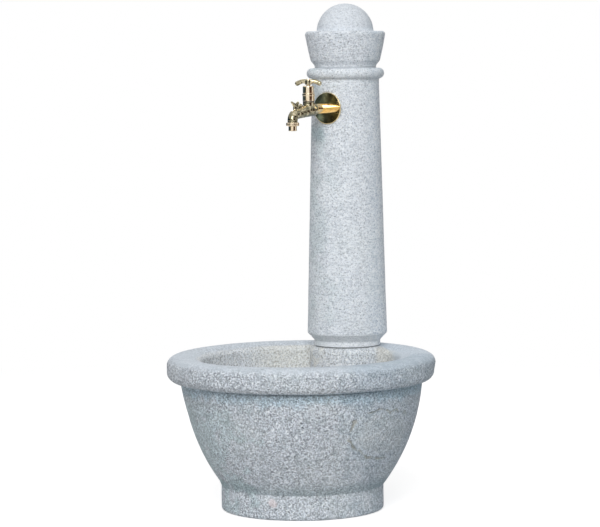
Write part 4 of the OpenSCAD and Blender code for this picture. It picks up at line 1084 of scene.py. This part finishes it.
tail = turned(np.vstack([
    [(15.4, 12.0)], up_cylinder(TAIL_R, 13.2, 28.4, 66), [(16.12, 28.5), (16.12, 28.9)],
    up_cylinder(TAIL_R, 29.0, 40.0, 48),
    [(TAIL_R, 74.9), (29.6, 75.0), (30.0, 75.5), (29.8, 76.4), (28.8, 77.4), (27.0, 77.9), (24.0, 78.0),
     (18.5, 77.9), (16.2, 77.6), (15.6, 77.2), (15.6, 76.4), (14.5, 76.4), (13.6, 76.3), (13.5, 75.8),
     (13.5, 12.0)]]), 144)
tail = threaded(tail, TAIL_R, 12.2, 28.3, TAIL_PITCH, TAIL_DEPTH)
tail_piece = skin("drain_tail", tail, ring=True, sharp=25.0)
bar_path = [(x, 0.0, BAR_Z) for x in np.linspace(-BAR_HALF, BAR_HALF, 24)]
bar = skin("bar", swept(bar_path, [(2.0, 2.4)] * 24, (0.0, 1.0, 0.0), 24))
cut(tail_piece, bar, rod("hub", 0.0, 0.0, 4.0, 71.7, 76.35, 40), operation="UNION")
cut(tail_piece, rod("screw_hole", 0.0, 0.0, 1.6, 70.0, 80.0, 24))
print("drain tail:", len(tail_piece.data.polygons), "faces")

# %% Strainer, its screw and the lock nut
HOLE_ANGLES = 2.0 * np.pi * (np.arange(12) + 0.5) / 12
HOLE_RINGS = [("hole", 10.8, 1.7, HOLE_ANGLES), ("inner", 6.2, 1.36, HOLE_ANGLES[::2] - HOLE_ANGLES[0])]

plate_profile = [
    (1.6, 76.5), (14.9, 76.5), (15.4, 76.9), (15.4, 77.5), (14.9, 77.9), (8.0, 78.0), (1.6, 78.0)]
plate = skin("strainer_plate", turned(plate_profile, 144), ring=True)
cut(plate, *(
    rod(f"{name}_{i}", out * math.cos(a), out * math.sin(a), r, 70.0, 80.0, 24)
    for name, out, r, ring_angles in HOLE_RINGS for i, a in enumerate(ring_angles)))
screw_profile = [(1.5, 72.5), (1.5, 78.0), (3.1, 78.0), (3.0, 78.6), (2.4, 79.2), (1.2, 79.5)]
screw = skin("drain_screw", turned(screw_profile, 48))
blade = np.array([(-4.0, -0.35), (4.0, -0.35), (4.0, 0.35), (-4.0, 0.35)])
slot = np.stack([np.hstack([blade, np.full((4, 1), z)]) for z in (78.8, 81.0)])
cut(screw, skin("slot", slot))
tail_nut = turned(np.vstack([
    bevelled(TAIL_FLATS, LOCK_LOW, LOCK_HIGH), [(16.72, LOCK_HIGH), (16.72, LOCK_LOW)]]), 192)
tail_nut = hexed(tail_nut, TAIL_FLATS, LOCK_LOW, LOCK_HIGH)
tail_nut = skin("drain_lock", tail_nut, ring=True, sharp=20.0)
print("strainer holes:", sum(len(ring_angles) for *_, ring_angles in HOLE_RINGS))

# %% [markdown]
# ## The other finishes
# The joints are filled with mortar, the drain and the pins are stainless steel, the supply
# pipe is copper and the seals are black rubber. One function makes them all, because each is
# two close tones in clouds of its own size over a fine relief. The CAD nodes that are left have
# the right shape, so they stay, and only their material changes.

# %% Mortar, steel, copper and rubber
def plain(name, colour, second, grain, roughness, relief, metallic=0.0):
    """Two tones of one stuff mixed by a noise of that grain, with a finer bump and roughness."""
    stuff = material(name)
    point, _ = stuff.place()
    return stuff.surface(
        Base_Color=stuff.mix(stuff.noise(point, grain, 3.0).step(0.35, 0.7), colour, second),
        Roughness=roughness + 0.12 * stuff.noise(point, grain * 0.6, 2.0), Metallic=metallic,
        Normal=stuff.bump(stuff.noise(point, grain * 0.5, 2.0), relief))


mortar = plain("mortar", (0.40, 0.41, 0.42), (0.28, 0.29, 0.30), 0.003, 0.80, 0.0004)
steel = plain("brushed_steel", (0.62, 0.63, 0.65), (0.50, 0.51, 0.53), 0.004, 0.28, 0.00005, 1.0)
copper = plain("copper_pipe", (0.80, 0.42, 0.28), (0.50, 0.26, 0.18), 0.010, 0.25, 0.0001, 1.0)
rubber = plain("black_rubber", (0.018, 0.018, 0.019), (0.03, 0.03, 0.031), 0.002, 0.62, 0.00008)
pale_mortar = plain("pale_mortar", (0.62, 0.66, 0.70), (0.50, 0.54, 0.58), 0.003, 0.85, 0.0004)
fit(cap_joint, pale_mortar, "mortar", "fountain", "cap_bed")
drain_pieces = {
    tail_piece: "drain_flange", plate: "drain_strainer", screw: "strainer_screw", tail_nut: "drain_nut"}
for made, node in drain_pieces.items():
    fit(made, steel, "stainless_steel", "fountain", node)
kept = {
    mortar: ["column_bed"],
    steel: ["column_dowels", "cap_dowel"],
    copper: ["riser_pipe"],
    rubber: ["pipe_bushes", "headwork_seal", "gland_packing", "valve_washer", "outlet_washer",
             "drain_seal", "drain_gasket"],
    brass_plain: ["inlet_ferrule", "column_elbow", "elbow_ferrule", "jumper_valve"],
    brass_polished: ["spindle", "handle_screw"],
}
for finish, names in kept.items():
    for name in names:
        nodes[name].data.materials.clear()
        nodes[name].data.materials.append(finish)
print("finished in place:", sum(map(len, kept.values())), "CAD nodes")

# %% [markdown]
# ## Studio
# The photograph's fountain stands on pure white. The floor and the world therefore send white
# to the camera, to mirrors and to glass, while the light that falls on the stone comes from a
# weaker world and two large soft lamps. Near the object the floor is a painted one that takes
# its shadow, and it fades into plain white light further out.

# %% World and floor
WHITE = (1.0, 1.0, 1.0, 1.0)


def looked_at(finish):
    """1 where a camera, mirror or glass ray looks, and 0 for the light that falls on things."""
    rays = finish.node("LightPath").output.node.outputs
    camera_ray, glossy, through = (
        Socket(finish, rays[f"Is {kind} Ray"]) for kind in ("Camera", "Glossy", "Transmission"))
    return camera_ray.most(glossy).most(through)


world = Finish(bpy.data.worlds.new("studio"))
bpy.context.scene.world = world.owner
sky = world.node("Background", sockets={0: WHITE, 1: 0.46 + 0.54 * looked_at(world)})
world.node("OutputWorld", sockets={0: sky})

floor_paint = material("floor_white")
seen = looked_at(floor_paint)
paint = floor_paint.node("BsdfDiffuse", sockets={0: (0.62, 0.62, 0.62, 1.0)})
glow = floor_paint.node("Emission", sockets={0: WHITE, 1: 0.60 * seen})
near = floor_paint.node("AddShader", sockets={0: paint, 1: glow})
far = floor_paint.node("Emission", sockets={0: WHITE, 1: seen})
_, (x, y, _) = floor_paint.place()
fade = floor_paint.node("MixShader", sockets={0: (x * x + y * y).step(1.2, 6.0), 1: near, 2: far})
floor_paint.node("OutputMaterial", sockets={0: fade})
floor_mesh = bpy.data.meshes.new("floor")
floor_mesh.from_pydata([(-60, -60, 0), (60, -60, 0), (60, 60, 0), (-60, 60, 0)], [], [(0, 1, 2, 3)])
floor_mesh.materials.append(floor_paint.owner)
new_object("floor", floor_mesh)
print("white floor and world")

# %% Lamps
def soft_lamp(name, azimuth, elevation, distance, size, watts):
    """A square area lamp that looks at the middle of the fountain from that direction."""
    lamp = new_object(name, bpy.data.lights.new(name, "AREA"))
    lamp.data.size, lamp.data.energy = size, watts
    a, e = math.radians(azimuth), math.radians(elevation)
    away = np.array([math.sin(a) * math.cos(e), -math.cos(a) * math.cos(e), math.sin(e)])
    beside = np.array([math.cos(a), math.sin(a), 0.0])
    lamp.matrix_world = Matrix([[*beside], [*np.cross(away, beside)], [*away]]).transposed().to_4x4()
    lamp.matrix_world.translation = away * distance + np.array([0.0, 0.0, 0.5])
    print(name, "lamp:", watts, "W")


soft_lamp("key", 28.0, 31.0, 6.0, 3.0, 252.0)
soft_lamp("back", 215.0, 30.0, 6.0, 3.5, 95.0)
bpy.context.scene.view_settings.view_transform = "Standard"

# %% [markdown]
# ## What the brass sees
# Polished brass in a white room is a flat yellow. In the photograph it mirrors a dark garden:
# the rosette is nearly black, and the bonnet has dark flanks round a bright core. A curved
# screen of dark green gives it that. Only reflections see the screen, so it neither shades the
# stone nor shows in the picture, and a gap in front keeps the bright core.

# %% Garden screen
SCREEN_R, SCREEN_TOP, POSTS = 4.5, 2.3, 60
GAPS = [(-15.0, 50.0), (108.0, 134.0)]

garden = material("garden_screen")
point, (x, _, _) = garden.place()
stops = [(where, (grey,) * 3) for where, grey in ((0.35, 0.03), (0.52, 0.14), (0.70, 0.60))]
leaves = garden.node("ValToRGB", {"stops": stops}, {0: garden.noise(point, 0.5, 4.0, 0.6)})
tint = garden.mix(x.step(-3.1, -1.8), (0.28, 0.46, 0.60), (0.52, 0.44, 0.14))
tint = garden.mix(x.step(1.0, 3.0), tint, (0.50, 0.26, 0.16))
glow = garden.node("Emission", sockets={0: garden.mix(1.0, leaves, tint, "MULTIPLY"), 1: 1.0})
garden.node("OutputMaterial", sockets={0: glow})

points, quads = [], []
for start, end in ((GAPS[0][1], GAPS[1][0]), (GAPS[1][1], GAPS[0][0] + 360.0)):
    turn = np.radians(np.linspace(start, end, POSTS))
    foot = np.stack([SCREEN_R * np.sin(turn), -SCREEN_R * np.cos(turn), 0.0 * turn], -1)
    first = np.arange(POSTS - 1) + POSTS * len(points)
    points += [foot, foot + (0.0, 0.0, SCREEN_TOP)]
    quads.append(np.stack([first, first + 1, first + POSTS + 1, first + POSTS], -1))
screen_mesh = bpy.data.meshes.new("garden_screen")
screen_mesh.from_pydata(np.vstack(points), [], np.vstack(quads).tolist())
screen_mesh.materials.append(garden.owner)
screen = new_object("garden_screen", screen_mesh)
screen.visible_camera = screen.visible_diffuse = screen.visible_shadow = False
screen.visible_transmission = screen.visible_volume_scatter = False
print("screen with gaps at azimuths", GAPS)

# %% [markdown]
# ## Size
# The looks must not change the size.
